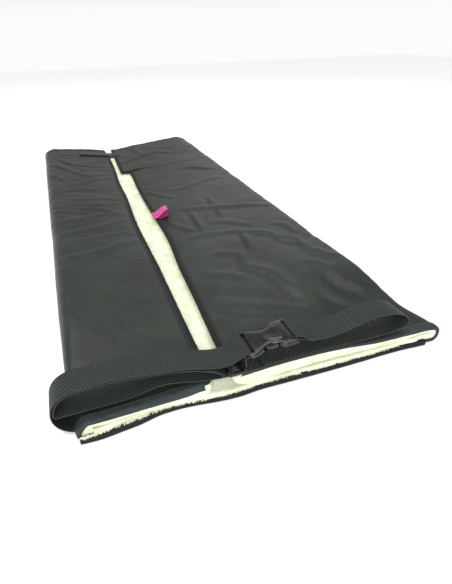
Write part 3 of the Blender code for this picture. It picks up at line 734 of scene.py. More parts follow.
@dataclass
class WrapForm:
    """The closed wrap's form: where its edges run and how high its faces lie."""

    pile: float = 11 * MM              # lining under the flaps
    corner: float = 0.026              # rounding of the foot corners
    ripple: float = 1.0 * MM           # long slack ripples across the flaps
    swell: float = 2.0 * MM            # broad swellings over the pile
    rumple: float = 0.45 * MM          # small rumples of the coated cloth
    under_belt: float = 0.060          # from the waist, where the belt holds the cloth calm
    flare: ClassVar[dict[str, float]] = {"left": -7 * MM, "right": 13 * MM}    # how far folds open at the waist
    waist_top: Profile = Profile((
        (0.000, 0.0270), (0.040, 0.0255), (0.096, 0.0275), (0.155, 0.0312), (0.176, 0.0338), (0.210, 0.0345),
        (0.240, 0.0340), (0.307, 0.0330), (0.382, 0.0300), (0.435, 0.0255), (0.490, 0.0262), (0.535, 0.0290)))
    back_edge: Profile = Profile((
        (0.000, 0.0060), (0.040, 0.0095), (0.077, 0.0098), (0.114, 0.0072), (0.154, 0.0055), (0.216, 0.0070),
        (0.307, 0.0080), (0.380, 0.0070), (0.461, 0.0066), (0.535, 0.0100)))
    waist_wave: Profile = Profile((
        (0.000, 0.0035), (0.033, 0.0015), (0.057, 0.0035), (0.083, 0.0065), (0.109, 0.0120), (0.140, 0.0125),
        (0.162, 0.0100), (0.190, 0.0060), (0.216, 0.0040), (0.245, 0.0055), (0.291, 0.0042), (0.381, 0.0020),
        (0.478, 0.0010), (0.535, -0.0030)))
    hem_drop: Profile = Profile((
        (0.000, 0.0050), (0.080, 0.0065), (0.120, 0.0095), (0.155, 0.0115), (0.178, 0.0100), (0.215, 0.0070),
        (0.440, 0.0050), (0.535, 0.0060)))
    corner_wave: Profile = Profile(((0.000, 0.0), (0.420, 0.0), (0.490, -0.0035), (0.550, -0.0085)))
    left_lie: Profile = Profile((
        (0.0, 0.0), (0.35, -0.0015), (0.61, -0.0045), (0.80, 0.0010), (0.92, -0.0010), (1.05, 0.0045),
        (1.26, 0.0050), (1.365, 0.0)))
    right_lie: Profile = Profile((
        (0.0, -0.001), (0.10, -0.0026), (0.20, 0.0), (0.335, 0.0015), (0.445, 0.0070), (0.68, 0.0008),
        (0.78, -0.0014), (0.99, 0.0), (1.365, 0.0)))

    def __post_init__(self) -> None:
        """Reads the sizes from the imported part."""
        low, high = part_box("left_side_fold_shell")
        self.left, self.waist, self.foot, self.side_height = low.x, low.y, high.y, high.z
        self.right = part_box("right_side_fold_shell")[1].x
        flap_low, flap_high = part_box("left_flap_shell")
        self.flap_waist, self.flap_foot = flap_low.y, flap_high.y
        self.hinge_left = flap_low.x
        self.hinge_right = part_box("right_flap_shell")[1].x
        self.slit_left_ends = [reach("left_flap_shell", y, 1) for y in (flap_low.y, flap_high.y)]
        self.slit_right_ends = [reach("right_flap_shell", y, -1) for y in (flap_low.y, flap_high.y)]
        cuff_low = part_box("foot_cuff")[0]
        self.cuff_start = cuff_low.y
        self.cuff_lap = self.slit_right(cuff_low.y) - reach("foot_cuff", cuff_low.y, -1)
        self.back_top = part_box("back_fleece")[1].z

    def share_along(self, y: Any) -> Any:
        """How far along the flaps a place is, from 0 at the waist to 1 at the foot end."""
        return (y - self.flap_waist) / (self.flap_foot - self.flap_waist)

    def slit_left(self, y: Any) -> Any:
        """The left flap's free edge."""
        return mix(*self.slit_left_ends, self.share_along(y)) + self.left_lie(y - self.waist)

    def slit_right(self, y: Any) -> Any:
        """The right flap's free edge."""
        return mix(*self.slit_right_ends, self.share_along(y)) + self.right_lie(y - self.waist)

    def slit_height(self, y: Any) -> Any:
        """Height of the cloth along the opening."""
        return mix(0.033, 0.0205, self.share_along(y))

    def top(self, x: Any, y: Any) -> Any:
        """Height of the flaps' outer face, before its creases.

        Args:
            x: Places across the wrap.
            y: Places along the wrap.

        Returns:
            The heights.
        """
        ends = (self.slit_left(y), self.slit_right(y))
        on_left = (ends[0] - x) / (ends[0] - self.hinge_left)
        on_right = (x - ends[1]) / (self.hinge_right - ends[1])
        share = np.clip(np.maximum(on_left, on_right), 0.0, 1.0)
        body = mix(self.slit_height(y), self.side_height, share ** 0.8)
        near = self.waist_top(x - self.left)
        rise = eased((y - self.waist - 0.045) / 0.17)
        belt = mix(near, np.minimum(near, 0.0325), eased((y - self.waist - 0.008) / 0.015))
        return mix(belt, body, rise)

    def back(self, x: Any, y: Any) -> Any:
        """Height of the back panel's pile, which swells in the opening.

        Args:
            x: Places across the wrap.
            y: Places along the wrap.

        Returns:
            The heights.
        """
        middle = (self.slit_left(y) + self.slit_right(y)) / 2
        swell = mix(0.0085, 0.0050, self.share_along(y)) * np.exp(-((x - middle) / 0.045) ** 2)
        body = self.back_top + swell
        return mix(self.back_edge(x - self.left), body, eased((y - self.waist) / 0.05))

    def flap_place(self, side: Side, x: Rows, y: Rows) -> Rows:
        """How far creases raise a flap at each place.

        Args:
            side: Which flap.
            x: Places across the wrap.
            y: Places along the wrap.

        Returns:
            The rises.
        """
        across, along = x - self.left, y - self.waist
        creases = LEFT_CREASES if side is Side.LEFT else RIGHT_CREASES
        lift = sum(crease.lift(across, along) for crease in creases)
        slant = 0.35 if side is Side.LEFT else -0.55
        far = eased((along - 0.22) / 0.5) if side is Side.LEFT else 0.75
        ripples = 1 - 2 * np.abs(cloud(x, y + slant * x, 0.17, 0.036, 3.0 + side.value, 3))
        swells = cloud(x, y, 0.14, 0.20, 11.0 + side.value, 2)
        fine = cloud(x, y, 0.035, 0.022, 21.0 + side.value, 3)
        lift = lift + far * self.ripple * ripples + self.swell * swells + self.rumple * fine
        calm = mix(0.25, 1.0, eased((along - self.under_belt) / 0.06))
        return lift * calm


@dataclass
class SideShell:
    """One half of the front: outer cloth from the seam under the fold to the opening, and its lining."""

    form: WrapForm
    side: Side
    cloth: float = 1.3 * MM
    fold_columns: int = 16
    flap_pitch: float = 5.0 * MM
    row_pitch: float = 6.0 * MM
    binding_lap: float = 9.5 * MM
    binding_thick: float = 3.6 * MM
    stitch_in: float = 7.8 * MM        # from the free edge
    stitch_lift: float = 1.2 * MM
    free_radius: float = 11 * MM       # rounding of the free edge's waist corner
    dent: float = 1.4 * MM             # shallow dents round the fold
    pile_gap: float = 0.4 * MM         # between the cloth and the pile
    pile_lump: float = 0.8 * MM
    edge_round: tuple[float, float] = (0.030, 0.008)    # pile's free edge, at the waist and beyond
    end_round: float = 4 * MM          # pile's waist and foot ends
    pile_floor: float = 1.5 * MM       # the pile stays above the panel's cloth

    # Width of the cut cloth, from its seam under the fold to the opening.
    flat_width: ClassVar[dict[Side, float]] = {Side.LEFT: 0.254, Side.RIGHT: 0.348}

    def __post_init__(self) -> None:
        """Names the half and works out its grid of points."""
        self.name = self.side.name.lower()
        self.pinch = 1.0 if self.side is Side.LEFT else 0.0
        self.grid = self.surface()
        self.normals = grid_normals(self.grid) * (1 if self.side is Side.LEFT else -1)
        self.raise_creases()

    def surface(self) -> Rows:
        """The outer face as a grid: rows along the wrap, columns from under the fold to the opening.

        Returns:
            The grid of points.
        """
        form, sign = self.form, self.side.value
        edge_x = form.left if sign < 0 else form.right
        hinge = form.hinge_left if sign < 0 else form.hinge_right
        widest = abs((form.slit_left(form.foot) if sign < 0 else form.slit_right(form.waist)) - hinge)
        columns = round(widest / self.flap_pitch)
        shares = np.concatenate([[0.0], steps(0, 1, columns)[1:-1], [1 - 0.25 / columns, 1.0]])
        rows = []
        for y in ruled(form.flap_waist, form.flap_foot, self.row_pitch):
            inset = self.corner_inset(y)
            radius = float(form.top(hinge, y)) / 2
            centre = edge_x - sign * (radius + inset)
            turns = np.radians(steps(-90, 90, self.fold_columns))
            pinch = self.pinch * (1 - float(eased((y - form.flap_waist) / 0.06)))
            bend_x = centre + sign * radius * np.cos(turns) ** (1 + 0.7 * pinch)
            bend_z = 2 * radius * ((1 + np.sin(turns)) / 2) ** (1 + 0.9 * pinch)
            free = form.slit_left(y) if sign < 0 else form.slit_right(y)
            free = free + sign * self.free_corner(y)
            flap_x = mix(centre, free, shares[1:])
            flap_z = form.top(flap_x, np.full_like(flap_x, y))
            xs = np.concatenate([[hinge], bend_x, flap_x])
            zs = np.concatenate([[0.0], bend_z, flap_z])
            wave = form.corner_wave(xs - form.left) - 0.5 * MM
            wave = wave * (1 - eased((y - form.flap_waist) / 0.06))
            rows.append(np.stack([xs, y + wave, zs], axis=1))
        return np.array(rows)

    def corner_inset(self, y: float) -> float:
        """How far the side draws in near its rounded ends.

        Args:
            y: A place along the wrap.

        Returns:
            The distance; below 0 where the side flares out.
        """
        inset = 0.0
        radius, into = self.form.corner, self.form.flap_foot - y
        if into < radius:
            inset = radius - math.sqrt(max(radius ** 2 - (radius - into) ** 2, 0.0))
        flare = self.form.flare[self.name]
        return min(inset, 0.016) - flare * (1 - float(eased((y - self.form.flap_waist) / 0.07)))

    def free_corner(self, y: float) -> float:
        """How far the free edge draws back at its rounded waist corner.

        Args:
            y: A place along the wrap.

        Returns:
            The distance.
        """
        radius = self.free_radius
        into = y - self.form.flap_waist
        return 0.0 if into >= radius else radius - math.sqrt(radius ** 2 - (radius - into) ** 2)

    def raise_creases(self) -> None:
        """Moves the points along the surface's direction by the creases."""
        x, y, z = (self.grid[..., k] for k in range(3))
        lift = self.form.flap_place(self.side, x, y)
        high = self.form.side_height
        upper = eased((z - 0.3 * high) / (0.5 * high)) * (self.normals[..., 2] > -0.3)
        dents = cloud(y, z, 0.09, 0.05, 41.0 + self.side.value, 2) * self.dent
        raised = lift * upper + dents * (1 - upper) * eased(z / 0.008)
        self.grid = self.grid + self.normals * raised[..., None]
        self.grid[..., 2] = np.maximum(self.grid[..., 2], 0.0)
        self.normals = grid_normals(self.grid) * (1 if self.side is Side.LEFT else -1)

    def build_cloth(self) -> bpy.types.Object:
        """The outer cloth.

        Returns:
            The cloth.
        """
        piece = skin(f"{self.name}_outer_cloth", self.grid, self.cloth, flip=self.side is Side.RIGHT)
        Cloth.SHELL.paint(piece)
        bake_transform(piece)
        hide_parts(f"{self.name}_side_fold_shell", f"{self.name}_flap_shell")
        return piece

    def build_lining(self) -> bpy.types.Object:
        """The pile lining, which fills down to the back panel near the waist.

        Returns:
            The lining.
        """
        grid, normals = self.grid, self.normals
        x, y, z = (grid[..., k] for k in range(3))
        room = z - self.form.back(x, y) - 2 * self.cloth
        deep = mix(self.form.pile, np.maximum(room, 0.004), 1 - eased((y - self.form.waist - 0.03) / 0.08))
        hinge = self.form.hinge_left if self.side is Side.LEFT else self.form.hinge_right
        on_flap = eased((hinge - x) * self.side.value / 0.03 + 0.2)
        radius = self.form.top(hinge, y) / 2
        folded = np.minimum(self.form.pile, 0.85 * radius)
        thick = mix(folded, np.minimum(deep, np.maximum(room, 0.004)), on_flap)
        edge_in = np.abs(x - x[:, -1:])
        end_in = np.minimum(y - y[:1], y[-1:] - y)
        soft = mix(*self.edge_round, eased((y - self.form.waist - 0.02) / 0.05))
        round_edge = np.sqrt(np.clip(1 - (1 - np.clip(edge_in / soft, 0, 1)) ** 2, 0.0, 1))
        round_end = np.sqrt(np.clip(1 - (1 - np.clip(end_in / self.end_round, 0, 1)) ** 2, 0.0, 1))
        shape = mix(0.12, 1.0, np.minimum(round_edge, round_end))
        lumps = cloud(x, y, 0.016, 0.016, 61.0, 2) * self.pile_lump * shape
        skin_gap = self.cloth + self.pile_gap
        outer = grid - normals * (skin_gap + 0.35 * thick * (1 - shape))[..., None]
        inner = grid - normals * (skin_gap + thick * mix(0.5, 1.0, shape) + lumps)[..., None]
        inner[..., 2] = np.maximum(inner[..., 2], self.pile_floor)
        outer[..., 2] = np.maximum(outer[..., 2], 0.8 * MM)
        piece = layer(f"{self.name}_lining", outer, inner)
        Cloth.PILE.paint(piece)
        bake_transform(piece)
        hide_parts(f"{self.name}_side_fold_fleece", f"{self.name}_flap_fleece")
        return piece

    def build_hems(self) -> list[bpy.types.Object]:
        """Bindings over the waist and foot ends of this half.

        Returns:
            The bindings and their stitches.
        """
        made = []
        for end, row, inward in (("waist", 0, 1), ("foot", -1, -1)):
            edge, normal = self.grid[row], self.normals[row]
            into = unit(self.grid[5 if row == 0 else -6] - edge)
            drop = self.form.hem_drop(edge[:, 0] - self.form.left)
            lap, thick = (0.0120, drop) if end == "waist" else (0.010, np.full_like(drop, 4.0 * MM))
            tape = Cloth.HEM if end == "waist" else Cloth.EDGE
            piece = bind_edge(f"{self.name}_{end}_hem", edge, into, normal, lap, thick, tape, 5.0 + inward)
            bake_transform(piece)
            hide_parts(f"{self.name}_{end}_binding")
            line = edge + into * 0.82 * lap
            sewn = stitch_row(f"{self.name}_{end}_stitches", line, normal, self.stitch_lift)
            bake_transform(sewn)
            made += [piece, sewn]
        return made

    def build_slit_binding(self) -> list[bpy.types.Object]:
        """The binding along the free edge, with its stitches.

        Returns:
            The binding and its stitches.
        """
        last = self.grid.shape[0]
        if self.side is Side.RIGHT:
            last = int(np.searchsorted(self.grid[:, -1, 1], self.form.cuff_start + 0.02))
        edge, normal = self.grid[1:last, -1], self.normals[1:last, -1]
        into = unit(self.grid[1:last, -4] - edge)
        thick = np.full(len(edge), self.binding_thick)
        piece = bind_edge(f"{self.name}_opening_binding", edge, into, normal, self.binding_lap, thick,
                          Cloth.EDGE, 9.0 + self.side.value)
        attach(piece, f"{self.name}_flap")
        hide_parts(f"{self.name}_slit_binding")
        line = edge + into * self.stitch_in
        sewn = stitch_row(f"{self.name}_opening_stitches", line, normal, self.stitch_lift)
        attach(sewn, f"{self.name}_flap")
        return [piece, sewn]

    def build(self) -> list[bpy.types.Object]:
        """Every piece of this half."""
        return [self.build_cloth(), self.build_lining(), *self.build_hems(), *self.build_slit_binding()]

    def height(self, x: Rows, y: Rows) -> Rows:
        """Height of the creased outer face at places on the flap.

        Args:
            x: Places across the wrap.
            y: Places along the wrap.

        Returns:
            The heights.
        """
        free = self.form.slit_left(y) if self.side is Side.LEFT else self.form.slit_right(y)
        inside = np.minimum(x, free) if self.side is Side.LEFT else np.maximum(x, free)
        return self.form.top(inside, y) + self.form.flap_place(self.side, inside, y)


def bind_edge(name: str, edge: Rows, into: Rows, normal: Rows, lap: float, thick: Rows, tape: Cloth,
              seed: float) -> bpy.types.Object:
    """A tape folded over an edge.

    Args:
        name: The piece's name.
        edge: Points along the cloth's edge.
        into: Directions from the edge into the cloth.
        normal: The cloth's outward directions.
        lap: How far the tape reaches over the cloth.
        thick: Thickness of the edge that it wraps, at each point.
        tape: The finish.
        seed: Picks its puckers.

    Returns:
        The binding.
    """
    run = np.concatenate([[0], np.cumsum(np.linalg.norm(np.diff(edge, axis=0), axis=1))])
    count = max(8, round(run[-1] / 0.005))
    at = np.linspace(0, run[-1], count)
    thick = np.interp(at, run, thick)
    edge, into, normal = (np.stack([np.interp(at, run, a[:, k]) for k in range(3)], axis=1)
                          for a in (edge, into, normal))
    into, normal = unit(into), unit(normal)
    proud = 0.7 * MM
    # The tape's outline from its upper edge round to its lower one: share of the lap in from the edge,
    # rise above the cloth, and share of the edge's thickness down.
    outline = [(1.0, 0.4 * MM, 0), (0.93, proud, 0), (0.5, proud * 1.35, 0), (0.12, proud, 0), (-0.10, 0, 0),
               (-0.16, 0, 0.5), (-0.10, 0, 0.9), (0.2, -0.4 * MM, 1), (0.85, 0, 1)]
    wave = cloud(at, np.zeros_like(at), 0.014, 1.0, seed, 3)
    rows = []
    for k, (share, up, deep) in enumerate(outline):
        swing = wave * (0.9 * MM if 3 <= k <= 6 else 0.35 * MM)
        inset = share * lap - 0.4 * swing
        rise = up - deep * thick + 0.6 * swing
        rows.append(edge + into * inset[:, None] + normal * rise[:, None])
    points = np.stack(rows, axis=1)
    points[..., 2] = np.maximum(points[..., 2], 0.2 * MM)
    piece = skin(name, points, 0.6 * MM, offset=0)
    tape.paint(piece)
    return piece


# One stitch: how far along its length, how high and how wide, the last two in millimetres.
STITCH = ((-0.5, -0.2, 0.15), (-0.3, 0.45, 0.30), (0.3, 0.45, 0.30), (0.5, -0.2, 0.15))


def stitch_row(name: str, line: Rows, normal: Rows, lift: float, pitch: float = 3.6 * MM,
               length: float = 2.6 * MM) -> bpy.types.Object:
    """A row of lockstitches that sink at their ends.

    Args:
        name: The piece's name.
        line: Points that the row follows.
        normal: The cloth's outward directions there.
        lift: How high the stitches stand.
        pitch: Distance from one stitch to the next; the real one is 2.5 mm, drawn coarser to show.
        length: Length of each stitch.

    Returns:
        The stitches as one piece.
    """
    run = np.concatenate([[0], np.cumsum(np.linalg.norm(np.diff(line, axis=0), axis=1))])
    at = np.arange(pitch, run[-1] - pitch, pitch)
    place = np.stack([np.interp(at, run, line[:, k]) for k in range(3)], axis=1)
    up = unit(np.stack([np.interp(at, run, normal[:, k]) for k in range(3)], axis=1))
    ahead = unit(np.stack([np.interp(at, run, np.gradient(line[:, k], run)) for k in range(3)], axis=1))
    aside = np.cross(up, ahead)
    corners, faces = [], []
    for spot, u, f, a in zip(place, up, ahead, aside):
        start = len(corners)
        for share, high, half in STITCH:
            middle = spot + f * share * length + u * (lift + (high - 0.25) * MM)
            corners += [middle - a * half * MM, middle + u * 0.2 * MM, middle + a * half * MM,
                        middle - u * 0.3 * MM]
        faces += grid_faces(4, 4, start, closed=True)
        faces += [tuple(range(start, start + 4)), tuple(range(start + 12, start + 16))]
    piece = new_piece(name, corners, faces, np.zeros((len(corners), 2)))
    tidy_normals(piece)
    Cloth.THREAD.paint(piece)
    return piece


# ---- back panel ------------------------------------------------------------------------------
@dataclass
class BackPanel:
    """The panel that the wearer's back of the legs rests on: cloth below, pile above, bound ends."""

    form: WrapForm
    pitch: float = 7.0 * MM
    lip: float = 2.6 * MM              # the pile swells over the waist binding
    lump: float = 1.0 * MM
    drift: float = 1.1 * MM            # broad rises of the pile
    pile_low: float = 1.9 * MM         # the pile's underside, on the cloth
    tufts: int = 900

    def places(self) -> tuple[Rows, Rows]:
        """A grid of places over the panel, drawn to the waist's wavy edge.

        Returns:
            Places across and places along, as two grids.
        """
        form = self.form
        xs = ruled(form.hinge_left + 0.3 * MM, form.hinge_right - 0.3 * MM, self.pitch)
        ys = ruled(form.waist + 1.3 * MM, form.foot - 1.3 * MM, self.pitch)
        x, y = np.meshgrid(xs, ys)
        wave = form.waist_wave(x - form.left) * (1 - eased((y - form.waist) / 0.06))
        return x, y + wave

    def build_cloth(self) -> bpy.types.Object:
        """The cloth under the panel, which lies on the floor.

        Returns:
            The cloth.
        """
        x, y = self.places()
        z = 0.5 * MM + 0.35 * MM * cloud(x, y, 0.07, 0.05, 71.0, 3)
        piece = skin("back_outer_cloth", np.stack([x, y, np.maximum(z, 0.05 * MM)], 2), 0.9 * MM, offset=1)
        Cloth.SHELL.paint(piece)
        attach(piece, "back_panel")
        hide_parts("back_shell")
        return piece

    def build_lining(self) -> bpy.types.Object:
        """The pile, lumpy and swollen along the opening.

        Returns:
            The lining.
        """
        x, y = self.places()
        lumps = self.lump * cloud(x, y, 0.018, 0.018, 77.0, 3) + self.drift * cloud(x, y, 0.10, 0.13, 79.0, 2)
        ends = np.minimum(y - y[:1], y[-1:] - y)
        shape = np.sqrt(np.clip(1 - (1 - np.clip(ends / 0.0045, 0, 1)) ** 2, 0.0, 1))
        low = np.full_like(x, self.pile_low)
        lips = self.lip * np.exp(-(((y - y[:1]) - 0.004) / 0.006) ** 2)
        high = low + (self.form.back(x, y) - low + lumps + lips) * mix(0.35, 1.0, shape)
        piece = layer("back_lining", np.stack([x, y, high], 2), np.stack([x, y, low], 2))
        Cloth.PILE.paint(piece)
        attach(piece, "back_panel")
        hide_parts("back_fleece")
        return piece

    def build_binding(self, end: str) -> bpy.types.Object:
        """The binding round one end of the panel, puckered along the waist.

        Args:
            end: The panel's end: waist or foot.

        Returns:
            The binding.
        """
        form = self.form
        reach_left, reach_right = (0.017, 0.012) if end == "waist" else (0.0, 0.0)
        xs = steps(form.hinge_left - reach_left, form.hinge_right + reach_right, 110)
        base = form.waist if end == "waist" else form.foot
        into = np.array([0.0, 1.0 if end == "waist" else -1.0, 0.0])
        wave = form.waist_wave(xs - form.left) if end == "waist" else np.zeros_like(xs)
        high = form.back_edge(xs - form.left) if end == "waist" else np.full_like(xs, form.back_top)
        pucker = cloud(xs, np.zeros_like(xs), 0.021, 1.0, 91.0, 3)
        high = high + (1.3 * MM if end == "waist" else 0.4 * MM) * pucker
        # The tape's outline from the pile down to the floor: distance in, and share of the edge's height.
        outline = ((0.0035, 0.93), (0.0022, 1.0), (0.0006, 0.98), (-0.0012, 0.75), (-0.0016, 0.4),
                   (-0.0008, 0.06), (0.012, 0.03))
        rows = []
        for inset, share in outline:
            y = base + wave + into[1] * (inset + 0.0009 * pucker * share)
            rows.append(np.stack([xs, y, np.maximum(high * share, 0.4 * MM)], axis=1))
        piece = skin(f"back_{end}_trim", np.stack(rows, axis=1), 0.7 * MM, offset=0)
        Cloth.EDGE.paint(piece)
        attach(piece, "back_panel")
        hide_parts(f"back_{end}_binding")
        return piece

    def build_tufts(self) -> bpy.types.Object:
        """Loose curls of pile that hang over the waist binding.

        Returns:
            The tufts as one piece.
        """
        pick = np.random.default_rng(7)
        corners, faces = [], []
        form = self.form
        for _ in range(self.tufts):
            across = pick.uniform(0.030, 0.480) ** 1.4 * 0.480 ** -0.4
            x = form.left + across
            base = form.waist + float(form.waist_wave(across)) + pick.uniform(0.0015, 0.0040)
            high = float(form.back_edge(across)) + pick.uniform(0.0, 0.0012)
            length = pick.uniform(0.0015, 0.0046 if across < 0.17 else 0.0030)
            lean = pick.uniform(-0.5, 0.5)
            curl = pick.uniform(0.7, 1.6)
            rings = []
            for k, radius in enumerate((0.9, 0.8, 0.45, 0.05)):
                t = k / 3
                spot = Vector((x + lean * length * t, base - length * t * 0.8,
                               high + length * (0.35 * t - curl * t * t * 0.6)))
                rings.append([spot + Vector((math.cos(a), 0.3 * math.sin(a), math.sin(a))) * radius * MM
                              for a in (0.5, 2.6, 4.7)])
            start = len(corners)
            corners += [c for ring in rings for c in ring]
            faces += [(start, start + 2, start + 1)]
            faces += grid_faces(4, 3, start, closed=True)
            faces += [(start + 9, start + 10, start + 11)]
        piece = new_piece("waist_pile_tufts", corners, faces)
        Cloth.PILE.paint(piece)
        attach(piece, "back_panel")
        return piece

    def build(self) -> list[bpy.types.Object]:
        """Every piece of the panel."""
        made = [self.build_cloth(), self.build_lining()]
        made += [self.build_binding(end) for end in ("waist", "foot")]
        return [*made, self.build_tufts()]


# ---- foot cuff, tab and tag ------------------------------------------------------------------
@dataclass
class FootEnd:
    """The cuff that overlaps the opening at the foot end, its tab and the tab's tapes."""

    form: WrapForm
    left: SideShell
    right: SideShell
    lift: float = 1.2 * MM
    sag: float = 1.2 * MM
    binding_thick: float = 1.6 * MM
    columns: int = 52

    def cuff_edge(self, y: Any) -> Any:
        """The cuff's free edge."""
        return self.form.slit_right(y) - self.form.cuff_lap

    def cuff_height(self, x: Rows, y: Rows) -> Rows:
        """Height of the cuff, which sags a little over the opening and meets the flap at the right.

        Args:
            x: Places across the wrap.
            y: Places along the wrap.

        Returns:
            The heights.
        """
        free = self.form.slit_right(y)
        past = np.clip((free - x) / self.form.cuff_lap, 0, 1)
        share = np.clip((x - free) / (self.form.hinge_right - free), 0, 1)
        return self.right.height(x, y) + self.lift * mix(1.0, 0.35, share) - self.sag * past * past

    def build_cuff(self) -> list[bpy.types.Object]:
        """The cuff's cloth and the binding along its free edge.

        Returns:
            The cuff, its edge binding and its hem.
        """
        form = self.form
        ys = ruled(form.cuff_start, form.flap_foot, 6 * MM)
        shares = steps(0, 1, self.columns)
        x = np.array([mix(self.cuff_edge(y), form.hinge_right - 2 * MM, shares) for y in ys])
        y = np.repeat(ys[:, None], len(shares), axis=1)
        slope = 0.010 * eased((x - form.slit_right(y)) / 0.2) * (1 - eased((y - form.cuff_start) / 0.1))
        y = y - slope
        grid = np.stack([x, y, self.cuff_height(x, y)], axis=2)
        piece = skin("cuff_cloth", grid, 1.0 * MM)
        Cloth.SHELL.paint(piece)
        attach(piece, "right_flap")
        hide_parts("foot_cuff")
        wide = form.hinge_right - self.cuff_edge(form.cuff_start)
        normals = grid_normals(grid)
        edge = bind_edge("cuff_edge_binding", grid[:, 0], unit(grid[:, 3] - grid[:, 0]), normals[:, 0],
                         self.right.binding_lap, np.full(len(grid), self.binding_thick), Cloth.EDGE, 15.0)
        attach(edge, "right_flap")
        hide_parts("cuff_binding")
        last = 12    # the hem's tape ends this many columns in from the free edge
        hem = bind_edge("cuff_hem", grid[0, :last], unit(grid[5, :last] - grid[0, :last]), normals[0, :last],
                        4 * MM, np.full(last, self.binding_thick), Cloth.EDGE, 16.0)
        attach(hem, "right_flap")
        return [piece, edge, hem]

    def patch(self, name: str, node: str, body: str, height: Callable[[Rows, Rows], Rows], thickness: float,
              finish: Cloth) -> bpy.types.Object:
        """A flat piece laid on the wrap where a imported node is.

        Args:
            name: The piece's name.
            node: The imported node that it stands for.
            body: The body that it rides on.
            height: Gives the height of its face at places across and along.
            thickness: Its thickness.
            finish: Its finish.

        Returns:
            The piece.
        """
        low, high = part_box(node)
        x, y = np.meshgrid(steps(low.x, high.x, 36), steps(low.y, high.y, 12))
        ruffle = 0.35 * MM * cloud(x, y, 0.05, 0.03, 33.0, 2)
        piece = skin(name, np.stack([x, y, height(x, y) + ruffle], axis=2), thickness)
        finish.paint(piece)
        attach(piece, body)
        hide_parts(node)
        return piece

    def tab_height(self, x: Rows, y: Rows) -> Rows:
        """Height of the tab's face: over the tapes at its tip and over the cuff's edge.

        Args:
            x: Places across the wrap.
            y: Places along the wrap.

        Returns:
            The heights.
        """
        on_left = self.left.height(x, y) + 3.6 * MM
        on_cuff = self.cuff_height(x, y) + 1.9 * MM
        return mix(on_left, on_cuff, eased((x - self.form.slit_left(y)) / 0.02))

    def build_tab(self) -> list[bpy.types.Object]:
        """The tab and the tapes under its tip.

        Returns:
            The tab, its hook strip and the loop strip below it.
        """
        tab = self.patch("foot_tab_cloth", "foot_tab", "foot_tab", self.tab_height, 1.1 * MM, Cloth.SHELL)
        thick, hook_rise, loop_rise = 0.9 * MM, 2.4 * MM, 1.3 * MM
        hooks = self.patch("tab_hook_strip", "foot_tab_hook_tape", "foot_tab",
                           lambda x, y: self.left.height(x, y) + hook_rise, thick, Cloth.HOOKS)
        loops = self.patch("tab_loop_strip", "foot_tab_loop_tape", "left_flap",
                           lambda x, y: self.left.height(x, y) + loop_rise, thick, Cloth.HOOKS)
        return [tab, hooks, loops]

    def build(self) -> list[bpy.types.Object]:
        """Every piece of the foot end."""
        return [*self.build_cuff(), *self.build_tab()]


@dataclass
class SideTag:
    """The plain ribbon tag sewn into the right flap's edge."""

    form: WrapForm
    right: SideShell
    # The ribbon's loop seen from the waist: distance from the flap's edge, and height above the flap.
    route: tuple[tuple[float, float], ...] = (
        (-0.004, 0.0010), (0.004, 0.0016), (0.016, 0.0015), (0.027, 0.0040), (0.0335, 0.0100),
        (0.0315, 0.0180), (0.0240, 0.0165), (0.0130, 0.0090), (0.0040, 0.0035), (-0.004, 0.0026))

    def build(self) -> list[bpy.types.Object]:
        """The ribbon as a loop that stands off the flap.

        Returns:
            The ribbon.
        """
        low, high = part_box("side_tag")
        middle, half = (low.y + high.y) / 2, (high.y - low.y) / 2
        line = through([Vector((u, 0, w)) for u, w in self.route], 5)
        rows = []
        for share in steps(-1, 1, 8):
            y = middle + share * half
            start = float(self.form.slit_right(y))
            ground = float(self.right.height(np.array([start + 0.008]), np.array([y]))[0]) + 1.2 * MM
            skew = 1 + 0.10 * share
            tall = 1 - 0.22 * share
            rows.append([Vector((start + p.x * skew, y + 0.35 * p.z * share, ground + p.z * tall))
                         for p in line])
        points = np.array([[tuple(p) for p in row] for row in rows])
        piece = skin("ribbon_tag", points.transpose(1, 0, 2), 0.5 * MM, offset=0)
        Cloth.RIBBON.paint(piece)
        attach(piece, "right_flap")
        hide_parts("side_tag")
        return [piece]


